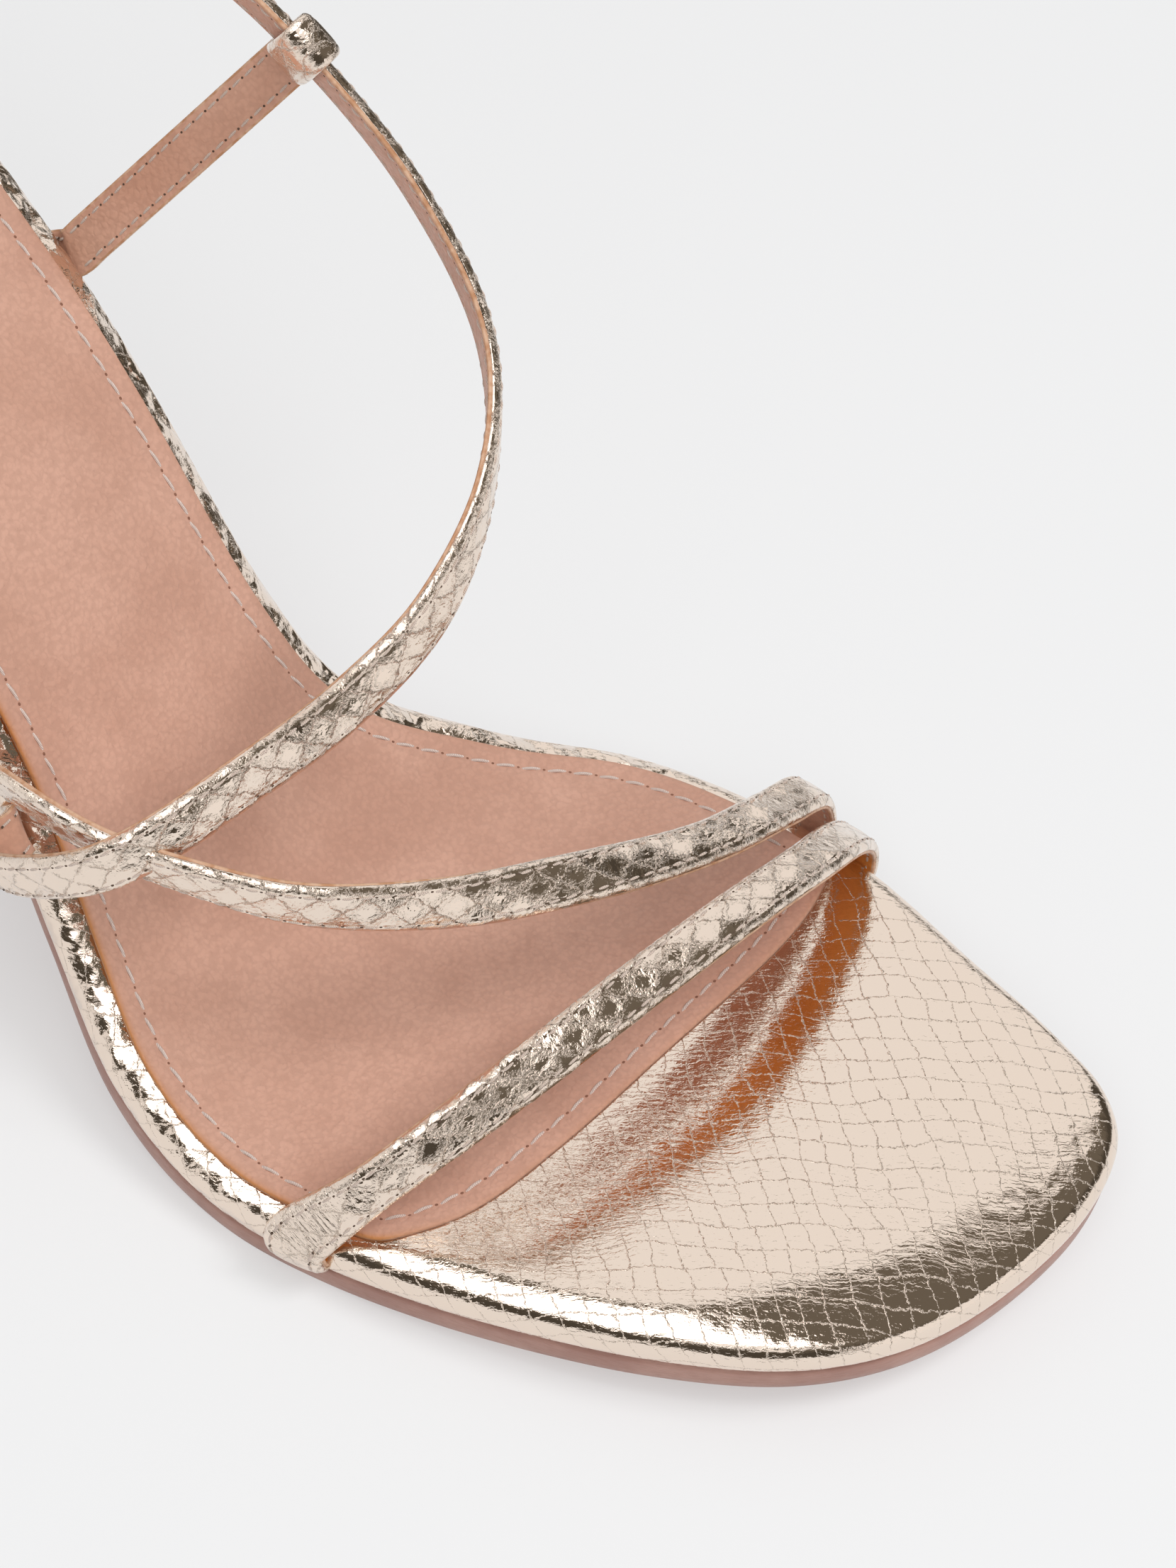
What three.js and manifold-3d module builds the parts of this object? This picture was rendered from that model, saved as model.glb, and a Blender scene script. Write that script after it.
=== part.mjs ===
// Right-foot evening sandal with narrow straps and a covered heel.
// Millimetres: +X runs to the toe, +Y to the inner side, +Z up. It is built with x = 0 at the
// back of the footbed, y = 0 on the heel's middle line and z = 0 on the floor.
import * as THREE from "three";
import { mergeVertices } from "three/addons/utils/BufferGeometryUtils.js";
import Module from "manifold-3d";

// Driving sizes
const soleLength = 229;
const ballWidth = 84;
const heelRise = 74.5; // how much higher the footbed is at the back than under the ball
const toeSpring = 6;
const instepHeight = 60; // from the footbed to the top of the foot, and the straps' scale
const boardThickness = 6;
const boardRoll = 4.6; // how far the padded edge rounds over
const outsoleThickness = 3;
const outsoleWaist = 1.5; // its feathered thickness under the arch
const treadFlat = 0.25; // worn off the lowest part, so that the forefoot has a flat
const outsoleInset = 0.5;
const sockThickness = 1;
const sockSeat = 0.8; // how deep the sock is set into the board
const sockMarginInner = 3.7;
const sockMarginOuter = 2.5;
const sockFront = 181; // the sock's foremost point
const strapWidth = 6;
const strapThickness = 1.8;
const loopThickness = 1.3; // stays are skived where they fold
const strapTuck = 7; // how far a strap end runs in under the board
const heelSeat = 46; // length of the board that the heel block carries
const heelTipLength = 12.5;
const heelTipWidth = 12;
const topPieceHeight = 6;
const buckleWire = 1.6;
const buckleLength = 11; // from the bar to the far side
const prongWire = 1.3;
const tipLength = 17; // strap end beyond the buckle's bar
const gap = 0.3;

// Finish of each material
const gold = { color: 0xe3cdb9, roughness: 0.24, metalness: 0.95 };
const nude = { color: 0xc79a85, roughness: 0.6, metalness: 0 };
const tan = { color: 0xa77568, roughness: 0.5, metalness: 0 };
const rubber = { color: 0x8a6256, roughness: 0.8, metalness: 0 };
const metal = { color: 0xe6cfae, roughness: 0.18, metalness: 1 };

// Side view of the footbed: along is a share of soleLength, heel of heelRise, toe of toeSpring.
const footline = [
  { along: 0.0, heel: 1.0, toe: 0 },
  { along: 0.087, heel: 0.941, toe: 0 },
  { along: 0.175, heel: 0.878, toe: 0 },
  { along: 0.262, heel: 0.796, toe: 0 },
  { along: 0.349, heel: 0.66, toe: 0 },
  { along: 0.415, heel: 0.488, toe: 0 },
  { along: 0.459, heel: 0.335, toe: 0 },
  { along: 0.502, heel: 0.19, toe: 0 },
  { along: 0.546, heel: 0.094, toe: 0 },
  { along: 0.6, heel: 0.026, toe: 0 },
  { along: 0.65, heel: 0.002, toe: 0 },
  { along: 0.7, heel: 0, toe: 0.05 },
  { along: 0.76, heel: 0, toe: 0.3 },
  { along: 0.84, heel: 0, toe: 0.66 },
  { along: 0.92, heel: 0, toe: 0.93 },
  { along: 1.0, heel: 0, toe: 1.0 },
];

// Plan outline: inner and outer are shares of ballWidth, measured from the middle line.
const outline = [
  { along: 0.0065, inner: 0.125, outer: 0.138 },
  { along: 0.022, inner: 0.2, outer: 0.207 },
  { along: 0.048, inner: 0.265, outer: 0.265 },
  { along: 0.09, inner: 0.315, outer: 0.308 },
  { along: 0.153, inner: 0.333, outer: 0.327 },
  { along: 0.22, inner: 0.316, outer: 0.321 },
  { along: 0.306, inner: 0.263, outer: 0.312 },
  { along: 0.385, inner: 0.212, outer: 0.316 },
  { along: 0.448, inner: 0.184, outer: 0.348 },
  { along: 0.502, inner: 0.205, outer: 0.406 },
  { along: 0.568, inner: 0.325, outer: 0.487 },
  { along: 0.643, inner: 0.452, outer: 0.526 },
  { along: 0.712, inner: 0.487, outer: 0.515 },
  { along: 0.79, inner: 0.467, outer: 0.474 },
  { along: 0.873, inner: 0.4, outer: 0.398 },
  { along: 0.932, inner: 0.357, outer: 0.306 },
  { along: 0.967, inner: 0.32, outer: 0.2 },
  { along: 0.988, inner: 0.262, outer: 0.07 },
];
const heelPoint = { along: 0, side: 0 };
const toePoint = { along: 0.9985, side: 0.13 };

// Middle of the foot inside the straps: rise is a share of instepHeight above the footbed.
const footAxis = [
  { along: 0.98, rise: -0.04 },
  { along: 0.83, rise: 0.06 },
  { along: 0.7, rise: 0.25 },
  { along: 0.568, rise: 0.57 },
  { along: 0.437, rise: 0.6 },
  { along: 0.328, rise: 0.62 },
  { along: 0.253, rise: 0.92 },
  { along: 0.218, rise: 1.46 },
];

// Straps over the foot: along and side as for the outline, rise a share of instepHeight above the footbed.
const toeStrapRows = [
  { along: 0.725, side: -0.464, rise: 0.14 },
  { along: 0.752, side: -0.31, rise: 0.25 },
  { along: 0.773, side: -0.095, rise: 0.305 },
  { along: 0.786, side: 0.107, rise: 0.3 },
  { along: 0.789, side: 0.286, rise: 0.222 },
  { along: 0.786, side: 0.404, rise: 0.135 },
];
const instepStrapRows = [
  { along: 0.454, side: -0.383, rise: 0.08 },
  { along: 0.491, side: -0.417, rise: 0.3 },
  { along: 0.563, side: -0.411, rise: 0.47 },
  { along: 0.633, side: -0.33, rise: 0.525 },
  { along: 0.687, side: -0.19, rise: 0.495 },
  { along: 0.726, side: -0.007, rise: 0.43 },
  { along: 0.749, side: 0.19, rise: 0.32 },
  { along: 0.753, side: 0.357, rise: 0.21 },
  { along: 0.752, side: 0.452, rise: 0.13 },
];
const wrapStrapRows = [
  { along: 0.478, side: -0.434, rise: 0.02 },
  { along: 0.503, side: -0.46, rise: 0.18 },
  { along: 0.553, side: -0.43, rise: 0.45 },
  { along: 0.586, side: -0.262, rise: 0.6 },
  { along: 0.598, side: -0.064, rise: 0.63 },
  { along: 0.605, side: 0.095, rise: 0.72 },
  { along: 0.591, side: 0.255, rise: 0.83 },
  { along: 0.556, side: 0.376, rise: 0.93 },
  { along: 0.497, side: 0.424, rise: 0.98 },
  { along: 0.431, side: 0.415, rise: 0.9 },
  { along: 0.373, side: 0.397, rise: 0.82 },
  { along: 0.262, side: 0.369, rise: 0.71 },
  { along: 0.131, side: 0.328, rise: 0.68 },
  { along: 0.035, side: 0.195, rise: 0.66 },
  { along: 0.004, side: 0, rise: 0.65 },
  { along: 0.035, side: -0.195, rise: 0.65 },
  { along: 0.131, side: -0.345, rise: 0.67 },
  { along: 0.205, side: -0.4, rise: 0.68 },
];
const stayRows = [
  { along: 0.352, side: 0.29, rise: 0.12 },
  { along: 0.385, side: 0.345, rise: 0.42 },
];
const buckleStayRows = [
  { along: 0.34, side: -0.352, rise: 0.1 },
  { along: 0.318, side: -0.385, rise: 0.32 },
];
const innerStayAlong = 0.333;
const outerStayAlong = 0.35;
const toeStrapBase = { outer: 0.697, inner: 0.781 };
const instepStrapBase = { outer: 0.433, inner: 0.752 };
const wrapStrapBase = 0.463;
const loopRow = 9; // the row of wrapStrapRows that the inner loop holds
const prongTilt = 2; // how far the buckle's far side stands off the strap's line

// Covered heel from top to tip: down is a share of its height, length and width of the
// seat's size less the tip's, back where the section starts, as a share of heelSeat.
const heelSections = [
  { down: 0.0, length: 1.0, width: 1.0, back: 0.02 },
  { down: 0.08, length: 0.8, width: 0.87, back: 0.035 },
  { down: 0.18, length: 0.55, width: 0.66, back: 0.075 },
  { down: 0.32, length: 0.3, width: 0.4, back: 0.13 },
  { down: 0.48, length: 0.13, width: 0.19, back: 0.18 },
  { down: 0.66, length: 0.03, width: 0.05, back: 0.21 },
  { down: 0.84, length: -0.01, width: -0.02, back: 0.22 },
  { down: 1.0, length: 0, width: 0, back: 0.215 },
];

const wasm = await Module();
wasm.setup();

const boardTop = boardThickness;
const group = new THREE.Group();

// A closed solid from vertices and triangles, turned right side out.
function solid(points, triangles) {
  const geometry = new THREE.BufferGeometry().setFromPoints(points);
  geometry.setIndex(triangles);
  const merged = mergeVertices(geometry, 1e-4);
  const vertProperties = new Float32Array(merged.attributes.position.array);
  const index = Array.from(merged.index.array);
  const triVerts = [];
  for (let i = 0; i < index.length; i += 3) {
    const [a, b, c] = index.slice(i, i + 3);
    if (a !== b && b !== c && a !== c) triVerts.push(a, b, c);
  }
  const make = (verts) =>
    new wasm.Manifold(new wasm.Mesh({ numProp: 3, vertProperties, triVerts: new Uint32Array(verts) }));
  const made = make(triVerts);
  return made.volume() > 0 ? made : make(triVerts.reverse());
}

// Adds a solid to the group as a named mesh.
function addMesh(name, made, finish) {
  const mesh = made.getMesh();
  const geometry = new THREE.BufferGeometry();
  geometry.setAttribute("position", new THREE.BufferAttribute(mesh.vertProperties, 3));
  geometry.setIndex(new THREE.BufferAttribute(mesh.triVerts, 1));
  geometry.computeVertexNormals();
  const piece = new THREE.Mesh(geometry, new THREE.MeshStandardMaterial(finish));
  piece.name = name;
  group.add(piece);
}

// Footbed line, sampled once: height and slope at any x.
const baseHeight = outsoleThickness - treadFlat;
const lineSamples = new THREE.CatmullRomCurve3(
  footline.map(
    (row) =>
      new THREE.Vector3(
        row.along * soleLength,
        0,
        baseHeight + row.heel * heelRise + row.toe * toeSpring,
      ),
  ),
  false,
  "centripetal",
).getPoints(footline.length * 16);

function footbedAt(x) {
  let k = 1;
  while (k < lineSamples.length - 1 && lineSamples[k].x < x) k += 1;
  const a = lineSamples[k - 1];
  const b = lineSamples[k];
  const slope = (b.z - a.z) / (b.x - a.x);
  return { z: a.z + slope * (x - a.x), slope };
}

// The slope is averaged over a short run, so that the normal turns smoothly.
function normalAt(x) {
  const run = 3;
  const rise = footbedAt(x + run).z - footbedAt(x - run).z;
  return new THREE.Vector3(-rise, 0, 2 * run).normalize();
}

// A point at a height over the footbed's base line, square to it.
function lift(x, y, height) {
  return normalAt(x).multiplyScalar(height).add(new THREE.Vector3(x, y, footbedAt(x).z));
}

// Plan outline as a closed curve, from the heel round the outer side to the toe and back.
const outlinePoints = [
  new THREE.Vector3(heelPoint.along * soleLength, heelPoint.side * ballWidth, 0),
  ...outline.map((row) => new THREE.Vector3(row.along * soleLength, -row.outer * ballWidth, 0)),
  new THREE.Vector3(toePoint.along * soleLength, toePoint.side * ballWidth, 0),
  ...[...outline]
    .reverse()
    .map((row) => new THREE.Vector3(row.along * soleLength, row.inner * ballWidth, 0)),
];
const outlineCurve = new THREE.CatmullRomCurve3(outlinePoints, true, "centripetal");
const edgeCount = outlinePoints.length * 3;
const halfCount = edgeCount / 2;
const edge = Array.from({ length: edgeCount }, (_, i) => {
  const point = outlineCurve.getPoint(i / edgeCount);
  const tangent = outlineCurve.getTangent(i / edgeCount).normalize();
  return { point, tangent, outward: new THREE.Vector3(tangent.y, -tangent.x, 0) };
});

// The outline's point on one side at a share of the length.
function edgeAt(along, side) {
  const x = along * soleLength;
  const range = side === "outer" ? [0, halfCount] : [halfCount, edgeCount];
  for (let i = range[0]; i < range[1]; i += 1) {
    const a = edge[i];
    const b = edge[(i + 1) % edgeCount];
    if ((a.point.x - x) * (b.point.x - x) > 0) continue;
    const t = (x - a.point.x) / (b.point.x - a.point.x || 1);
    return {
      point: a.point.clone().lerp(b.point, t),
      outward: a.outward.clone().lerp(b.outward, t).normalize(),
      tangent: a.tangent.clone().lerp(b.tangent, t).normalize(),
    };
  }
  throw new Error("no outline point at " + along);
}

// A layer of the bottom: rings at given insets from the outline and heights over the base line.
function layer(rings) {
  const points = rings.flatMap((ring) =>
    edge.map(({ point, outward }) => {
      const at = point.clone().addScaledVector(outward, -ring.inset(point));
      return lift(at.x, at.y, ring.height(at.x));
    }),
  );
  const triangles = [];
  const top = (rings.length - 1) * edgeCount;
  for (let i = 0; i < edgeCount; i += 1) {
    const next = (i + 1) % edgeCount;
    for (let j = 0; j < top; j += edgeCount) {
      triangles.push(j + i, j + next, j + edgeCount + next);
      triangles.push(j + i, j + edgeCount + next, j + edgeCount + i);
    }
  }
  for (let i = 0; i < halfCount; i += 1) {
    const [a, b] = [i, i + 1];
    const [c, d] = [edgeCount - i - 1, (edgeCount - i) % edgeCount];
    triangles.push(a, c, b, top + a, top + b, top + c);
    triangles.push(a, d, c, top + a, top + c, top + d);
  }
  return solid(points, triangles);
}

const always = (value) => () => value;

// A closed prism over a plan outline, from z = bottom up to z = top.
function prism(planPoints, bottom, top) {
  const shape = new THREE.Shape(planPoints.map(([x, y]) => new THREE.Vector2(x, y)));
  const geometry = new THREE.ExtrudeGeometry(shape, {
    depth: top - bottom,
    bevelEnabled: false,
    curveSegments: 24,
  }).translate(0, 0, bottom);
  geometry.deleteAttribute("normal");
  geometry.deleteAttribute("uv");
  const merged = mergeVertices(geometry, 1e-4);
  const corner = new THREE.Vector3();
  const points = Array.from({ length: merged.attributes.position.count }, (_, i) =>
    corner.fromBufferAttribute(merged.attributes.position, i).clone(),
  );
  return solid(points, Array.from(merged.index.array));
}

// Wrapped board: a padded insole board with a rounded edge, gold leather all round.
const boardRings = [
  { share: 0.4, height: gap },
  { share: 0.1, height: gap + 0.1 * boardThickness },
  { share: 0.0, height: 0.38 * boardThickness },
  { share: 0.03, height: 0.58 * boardThickness },
  { share: 0.16, height: 0.77 * boardThickness },
  { share: 0.42, height: 0.91 * boardThickness },
  { share: 0.74, height: 0.98 * boardThickness },
  { share: 1.15, height: boardThickness },
].map((row) => ({ inset: always(row.share * boardRoll), height: always(row.height) }));

// Sock: lines the board up to a curved front edge just ahead of the toe strap.
const sockInset = (spread) => (point) => {
  const inner = THREE.MathUtils.smoothstep(point.y, -0.1 * ballWidth, 0.1 * ballWidth);
  return THREE.MathUtils.lerp(sockMarginOuter, sockMarginInner, inner) - spread;
};
function sockSolid(spread, bottom, top, front) {
  const rings = [bottom, top].map((height) => ({ inset: sockInset(spread), height: always(height) }));
  const frontRows = [
    [front - 0.085 * soleLength, -0.56 * ballWidth],
    [front - 0.054 * soleLength, -0.47 * ballWidth],
    [front - 0.03 * soleLength, -0.37 * ballWidth],
    [front - 0.016 * soleLength, -0.2 * ballWidth],
    [front - 0.008 * soleLength, 0],
    [front, 0.24 * ballWidth],
    [front - 0.002 * soleLength, 0.34 * ballWidth],
    [front - 0.012 * soleLength, 0.44 * ballWidth],
    [front - 0.03 * soleLength, 0.56 * ballWidth],
  ];
  const toeEnd = prism([...frontRows, [1.1 * soleLength, ballWidth], [1.1 * soleLength, -ballWidth]], -heelRise, heelRise * 2);
  return layer(rings).subtract(toeEnd);
}
const sockTop = boardTop - sockSeat + gap + sockThickness;

// Straps: a rounded strip swept along a curve. Each control has a point and a width direction.
const stripStep = 4; // sections lie about this far apart, two or more to a span
const stripSection = [
  [-0.5, -0.28],
  [-0.42, -0.5],
  [0.42, -0.5],
  [0.5, -0.28],
  [0.5, 0.28],
  [0.42, 0.5],
  [-0.42, 0.5],
  [-0.5, 0.28],
];
function strip(controls, width, thickness) {
  const curve = new THREE.CatmullRomCurve3(controls.map((c) => c.point), false, "centripetal");
  const spans = controls.length - 1;
  const samples = [];
  for (let k = 0; k < spans; k += 1) {
    const reach = controls[k].point.distanceTo(controls[k + 1].point);
    const parts = Math.max(2, Math.round(reach / stripStep));
    for (let i = 0; i < parts; i += 1) samples.push({ k, share: i / parts });
  }
  samples.push({ k: spans - 1, share: 1 });
  const steps = samples.length - 1;
  const points = [];
  for (const { k, share } of samples) {
    const t = (k + share) / spans;
    const at = curve.getPoint(t);
    const along = curve.getTangent(t).normalize();
    const across = controls[k].across.clone().lerp(controls[k + 1].across, share);
    across.addScaledVector(along, -across.dot(along)).normalize();
    const out = along.clone().cross(across);
    for (const [u, v] of stripSection)
      points.push(at.clone().addScaledVector(across, u * width).addScaledVector(out, v * thickness));
  }
  const n = stripSection.length;
  const triangles = [];
  for (let i = 0; i < steps; i += 1)
    for (let j = 0; j < n; j += 1) {
      const [a, b] = [i * n + j, i * n + ((j + 1) % n)];
      triangles.push(a, b, b + n, a, b + n, a + n);
    }
  for (let j = 1; j < n - 1; j += 1) {
    triangles.push(0, j + 1, j);
    triangles.push(steps * n, steps * n + j, steps * n + j + 1);
  }
  return solid(points, triangles);
}

// Middle line of the foot, for the straps' outward side.
const axisPoints = footAxis.map((row) => {
  const x = row.along * soleLength;
  return new THREE.Vector3(x, 0, footbedAt(x).z + boardTop + row.rise * instepHeight);
});
const axisBlend = 0.13 * instepHeight;
function outwardFrom(point) {
  const nearest = axisPoints.slice(1).map((end, i) => {
    const spot = new THREE.Line3(axisPoints[i], end).closestPointToPoint(point, true, new THREE.Vector3());
    return { spot, distance: spot.distanceToSquared(point) };
  });
  const least = Math.min(...nearest.map((n) => n.distance));
  const middle = new THREE.Vector3();
  let total = 0;
  for (const { spot, distance } of nearest) {
    const weight = Math.exp((least - distance) / axisBlend ** 2);
    middle.addScaledVector(spot, weight);
    total += weight;
  }
  return point.clone().sub(middle.divideScalar(total)).normalize();
}

// Controls of a strap's end: under the board, round its lower edge and up its side.
function tuckedEnd(along, side, thickness) {
  const { point, outward, tangent } = edgeAt(along, side);
  const low = gap + thickness / 2;
  const out = gap + thickness / 2;
  const path = [
    [-strapTuck, low],
    [-0.35 * boardRoll, low],
    [0.12 * boardRoll, low + 0.12 * boardThickness],
    [out, low + 0.38 * boardThickness],
    [out, boardThickness * 0.85],
  ];
  const ahead = lift(point.x + tangent.x, point.y + tangent.y, 0).sub(lift(point.x, point.y, 0));
  return path.map(([offset, height]) => {
    const at = point.clone().addScaledVector(outward, offset);
    return { point: lift(at.x, at.y, height), across: ahead.clone().normalize() };
  });
}

function strapPoint(row) {
  const x = row.along * soleLength;
  const z = footbedAt(x).z + boardTop + row.rise * instepHeight;
  return new THREE.Vector3(x, row.side * ballWidth, z);
}

// Controls of a strap over the foot, whose width lies square to the outward direction.
function strapControls(rows) {
  const points = rows.map(strapPoint);
  return points.map((point, i) => {
    const before = points[Math.max(i - 1, 0)];
    const after = points[Math.min(i + 1, points.length - 1)];
    const along = after.clone().sub(before).normalize();
    return { point, across: along.cross(outwardFrom(point)).normalize() };
  });
}

// Joins runs of controls, turning each run's width direction to agree with the one before.
function joinControls(...runs) {
  const all = runs.flat();
  for (let i = 1; i < all.length; i += 1)
    if (all[i].across.dot(all[i - 1].across) < 0) all[i].across.negate();
  return all;
}

const toeStrap = joinControls(
  tuckedEnd(toeStrapBase.outer, "outer", strapThickness),
  strapControls(toeStrapRows),
  tuckedEnd(toeStrapBase.inner, "inner", strapThickness).reverse(),
);
const instepStrap = joinControls(
  tuckedEnd(instepStrapBase.outer, "outer", strapThickness),
  strapControls(instepStrapRows),
  tuckedEnd(instepStrapBase.inner, "inner", strapThickness).reverse(),
);
const wrapRows = strapControls(wrapStrapRows);

// Inner stay: rises from the board, passes outside the wrap strap, folds over it and is
// stitched to itself below.
const loopAt = wrapRows[loopRow];
const loopNext = wrapRows[loopRow + 1];
const loopAlong = loopNext.point.clone().sub(wrapRows[loopRow - 1].point).normalize();
const loopOut = outwardFrom(loopAt.point);
loopOut.addScaledVector(loopAlong, -loopOut.dot(loopAlong)).normalize();
const loopUp = loopOut.clone().cross(loopAlong);
if (loopUp.z < 0) loopUp.negate();
const loopPoint = (up, out) => ({
  point: loopAt.point.clone().addScaledVector(loopUp, up).addScaledVector(loopOut, out),
  across: loopAlong.clone(),
});
const holdUp = strapWidth / 2 + 2 * gap + loopThickness / 2;
const holdOut = strapThickness / 2 + gap + loopThickness / 2;
const innerStay = joinControls(
  tuckedEnd(innerStayAlong, "inner", loopThickness),
  strapControls(stayRows),
  [
    loopPoint(-holdUp - 2 * loopThickness, 0.8 * holdOut),
    loopPoint(-0.8 * holdUp, holdOut),
    loopPoint(0.75 * holdUp, holdOut),
    loopPoint(holdUp, 0.5 * holdOut),
  ],
);
const innerFold = joinControls([
  loopPoint(0.75 * holdUp, holdOut),
  loopPoint(holdUp, 0.5 * holdOut),
  loopPoint(holdUp, -0.5 * holdOut),
  loopPoint(0.75 * holdUp, -holdOut),
  loopPoint(-0.8 * holdUp, -holdOut),
  loopPoint(-holdUp - 0.8 * loopThickness, -0.5 * holdOut),
  loopPoint(-holdUp - 2.6 * loopThickness, 0.3 * holdOut),
]);

// Outer stay and buckle: the stay's end is folded round the buckle's bar, the strap comes
// down behind the far side of the frame, over the bar, and its tip lies over the stay.
const stayControls = strapControls(buckleStayRows);
const barTop = stayControls[stayControls.length - 1];
const lastWrap = wrapRows[wrapRows.length - 1];
const buckleDown = barTop.point.clone().sub(lastWrap.point).normalize();
const buckleOut = outwardFrom(barTop.point);
buckleOut.addScaledVector(buckleDown, -buckleOut.dot(buckleDown)).normalize();
const buckleAcross = buckleDown.clone().cross(buckleOut);
const foldOut = buckleWire / 2 + gap + loopThickness / 2;
const barHeight = foldOut; // the bar stands out from the stay's middle by the fold's radius
const barAhead = 2 * foldOut + 1;
const bucklePoint = (down, out) =>
  barTop.point
    .clone()
    .addScaledVector(buckleDown, down - barAhead)
    .addScaledVector(buckleOut, out + barHeight);
const buckleControl = (down, out) => ({ point: bucklePoint(down, out), across: buckleAcross.clone() });
const outerStay = joinControls(tuckedEnd(outerStayAlong, "outer", loopThickness), stayControls, [
  buckleControl(foldOut * 0.3, -foldOut),
  buckleControl(-foldOut * 0.6, -foldOut * 0.8),
  buckleControl(-foldOut, 0),
]);
const outerFold = joinControls([
  buckleControl(-foldOut * 0.6, -foldOut * 0.8),
  buckleControl(-foldOut, 0),
  buckleControl(-foldOut * 0.6, foldOut * 0.8),
  buckleControl(foldOut * 0.5, foldOut * 0.85),
  buckleControl(foldOut * 1.6, -foldOut * 0.1),
  buckleControl(foldOut * 3, -foldOut * 0.5),
]);
const overBar = foldOut + loopThickness / 2 + gap + strapThickness / 2;
const behindFar = prongTilt - buckleWire / 2 - gap - strapThickness / 2;
const wrapStrap = joinControls(
  tuckedEnd(wrapStrapBase, "outer", strapThickness),
  wrapRows,
  [
    buckleControl(-buckleLength * 1.05, behindFar),
    buckleControl(-buckleLength * 0.45, (behindFar + overBar) / 2),
    buckleControl(0, overBar),
    buckleControl(tipLength * 0.5, overBar * 0.75),
    buckleControl(tipLength, overBar * 0.45),
  ],
);

// A round rod through points, closed on itself or with flat ends.
const rodSides = 8;
function rod(path, closed, wire, steps) {
  const curve = new THREE.CatmullRomCurve3(path, closed, "centripetal");
  const { normals, binormals } = curve.computeFrenetFrames(steps, closed);
  const rings = closed ? steps : steps + 1;
  const points = [];
  for (let i = 0; i < rings; i += 1)
    for (let j = 0; j < rodSides; j += 1) {
      const angle = (2 * Math.PI * j) / rodSides;
      points.push(
        curve
          .getPointAt(i / steps)
          .addScaledVector(normals[i], (Math.cos(angle) * wire) / 2)
          .addScaledVector(binormals[i], (Math.sin(angle) * wire) / 2),
      );
    }
  const triangles = [];
  for (let i = 0; i < steps; i += 1)
    for (let j = 0; j < rodSides; j += 1) {
      const [a, b] = [i * rodSides + j, i * rodSides + ((j + 1) % rodSides)];
      const [c, d] = [a, b].map((k) => (k + rodSides) % points.length);
      triangles.push(a, b, d, a, d, c);
    }
  if (!closed)
    for (let j = 1; j < rodSides - 1; j += 1) {
      const end = steps * rodSides;
      triangles.push(0, j + 1, j);
      triangles.push(end, end + j, end + j + 1);
    }
  return solid(points, triangles);
}

const frameCorner = 1.2;
const frameHalf = strapWidth / 2 + gap + frameCorner;
const frameSteps = 40;
const prongSteps = 24;
// The frame's corners in order round it, each with the way to the next one.
const frameCorners = [
  { down: 0, across: -frameHalf, ahead: [-1, 0] },
  { down: -buckleLength, across: -frameHalf, ahead: [0, 1] },
  { down: -buckleLength, across: frameHalf, ahead: [1, 0] },
  { down: 0, across: frameHalf, ahead: [0, -1] },
];
function framePoint(down, across) {
  const out = prongTilt * (-down / buckleLength);
  return bucklePoint(down, out).addScaledVector(buckleAcross, across);
}
const framePath = frameCorners.flatMap(({ down, across, ahead }, i) => {
  const before = frameCorners[(i + 3) % 4].ahead;
  const next = frameCorners[(i + 1) % 4];
  const near = 0.3 * frameCorner;
  const side = (share) => framePoint(down + (next.down - down) * share, across + (next.across - across) * share);
  return [
    framePoint(down - before[0] * frameCorner, across - before[1] * frameCorner),
    framePoint(down + (ahead[0] - before[0]) * near, across + (ahead[1] - before[1]) * near),
    framePoint(down + ahead[0] * frameCorner, across + ahead[1] * frameCorner),
    side(0.35),
    side(0.65),
  ];
});
const frame = rod(framePath, true, buckleWire, frameSteps);

// Prong: a ring round the bar and a point that lies on the frame's far side.
const prongRing = buckleWire / 2 + 1.5 * gap + prongWire / 2;
const ringAt = (degrees) => {
  const angle = THREE.MathUtils.degToRad(degrees);
  return bucklePoint(prongRing * Math.cos(angle), prongRing * Math.sin(angle));
};
const onFrame = prongTilt + (buckleWire + prongWire) / 2 + gap;
const prongPath = [
  ...[20, -25, -70, -115, -160, -205].map(ringAt),
  bucklePoint(-prongRing * 1.3, overBar * 0.75),
  bucklePoint(-buckleLength * 0.45, overBar + 1.2 * prongWire),
  bucklePoint(-buckleLength * 0.8, onFrame + gap),
  bucklePoint(-buckleLength * 1.06, onFrame),
];
const prong = rod(prongPath, false, prongWire, prongSteps);
const prongEnd = ringAt(20).add(ringAt(20).sub(ringAt(10)).setLength(gap));
const prongClear = rod([prongEnd, ...prongPath], false, prongWire + 2 * gap, prongSteps);

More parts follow.
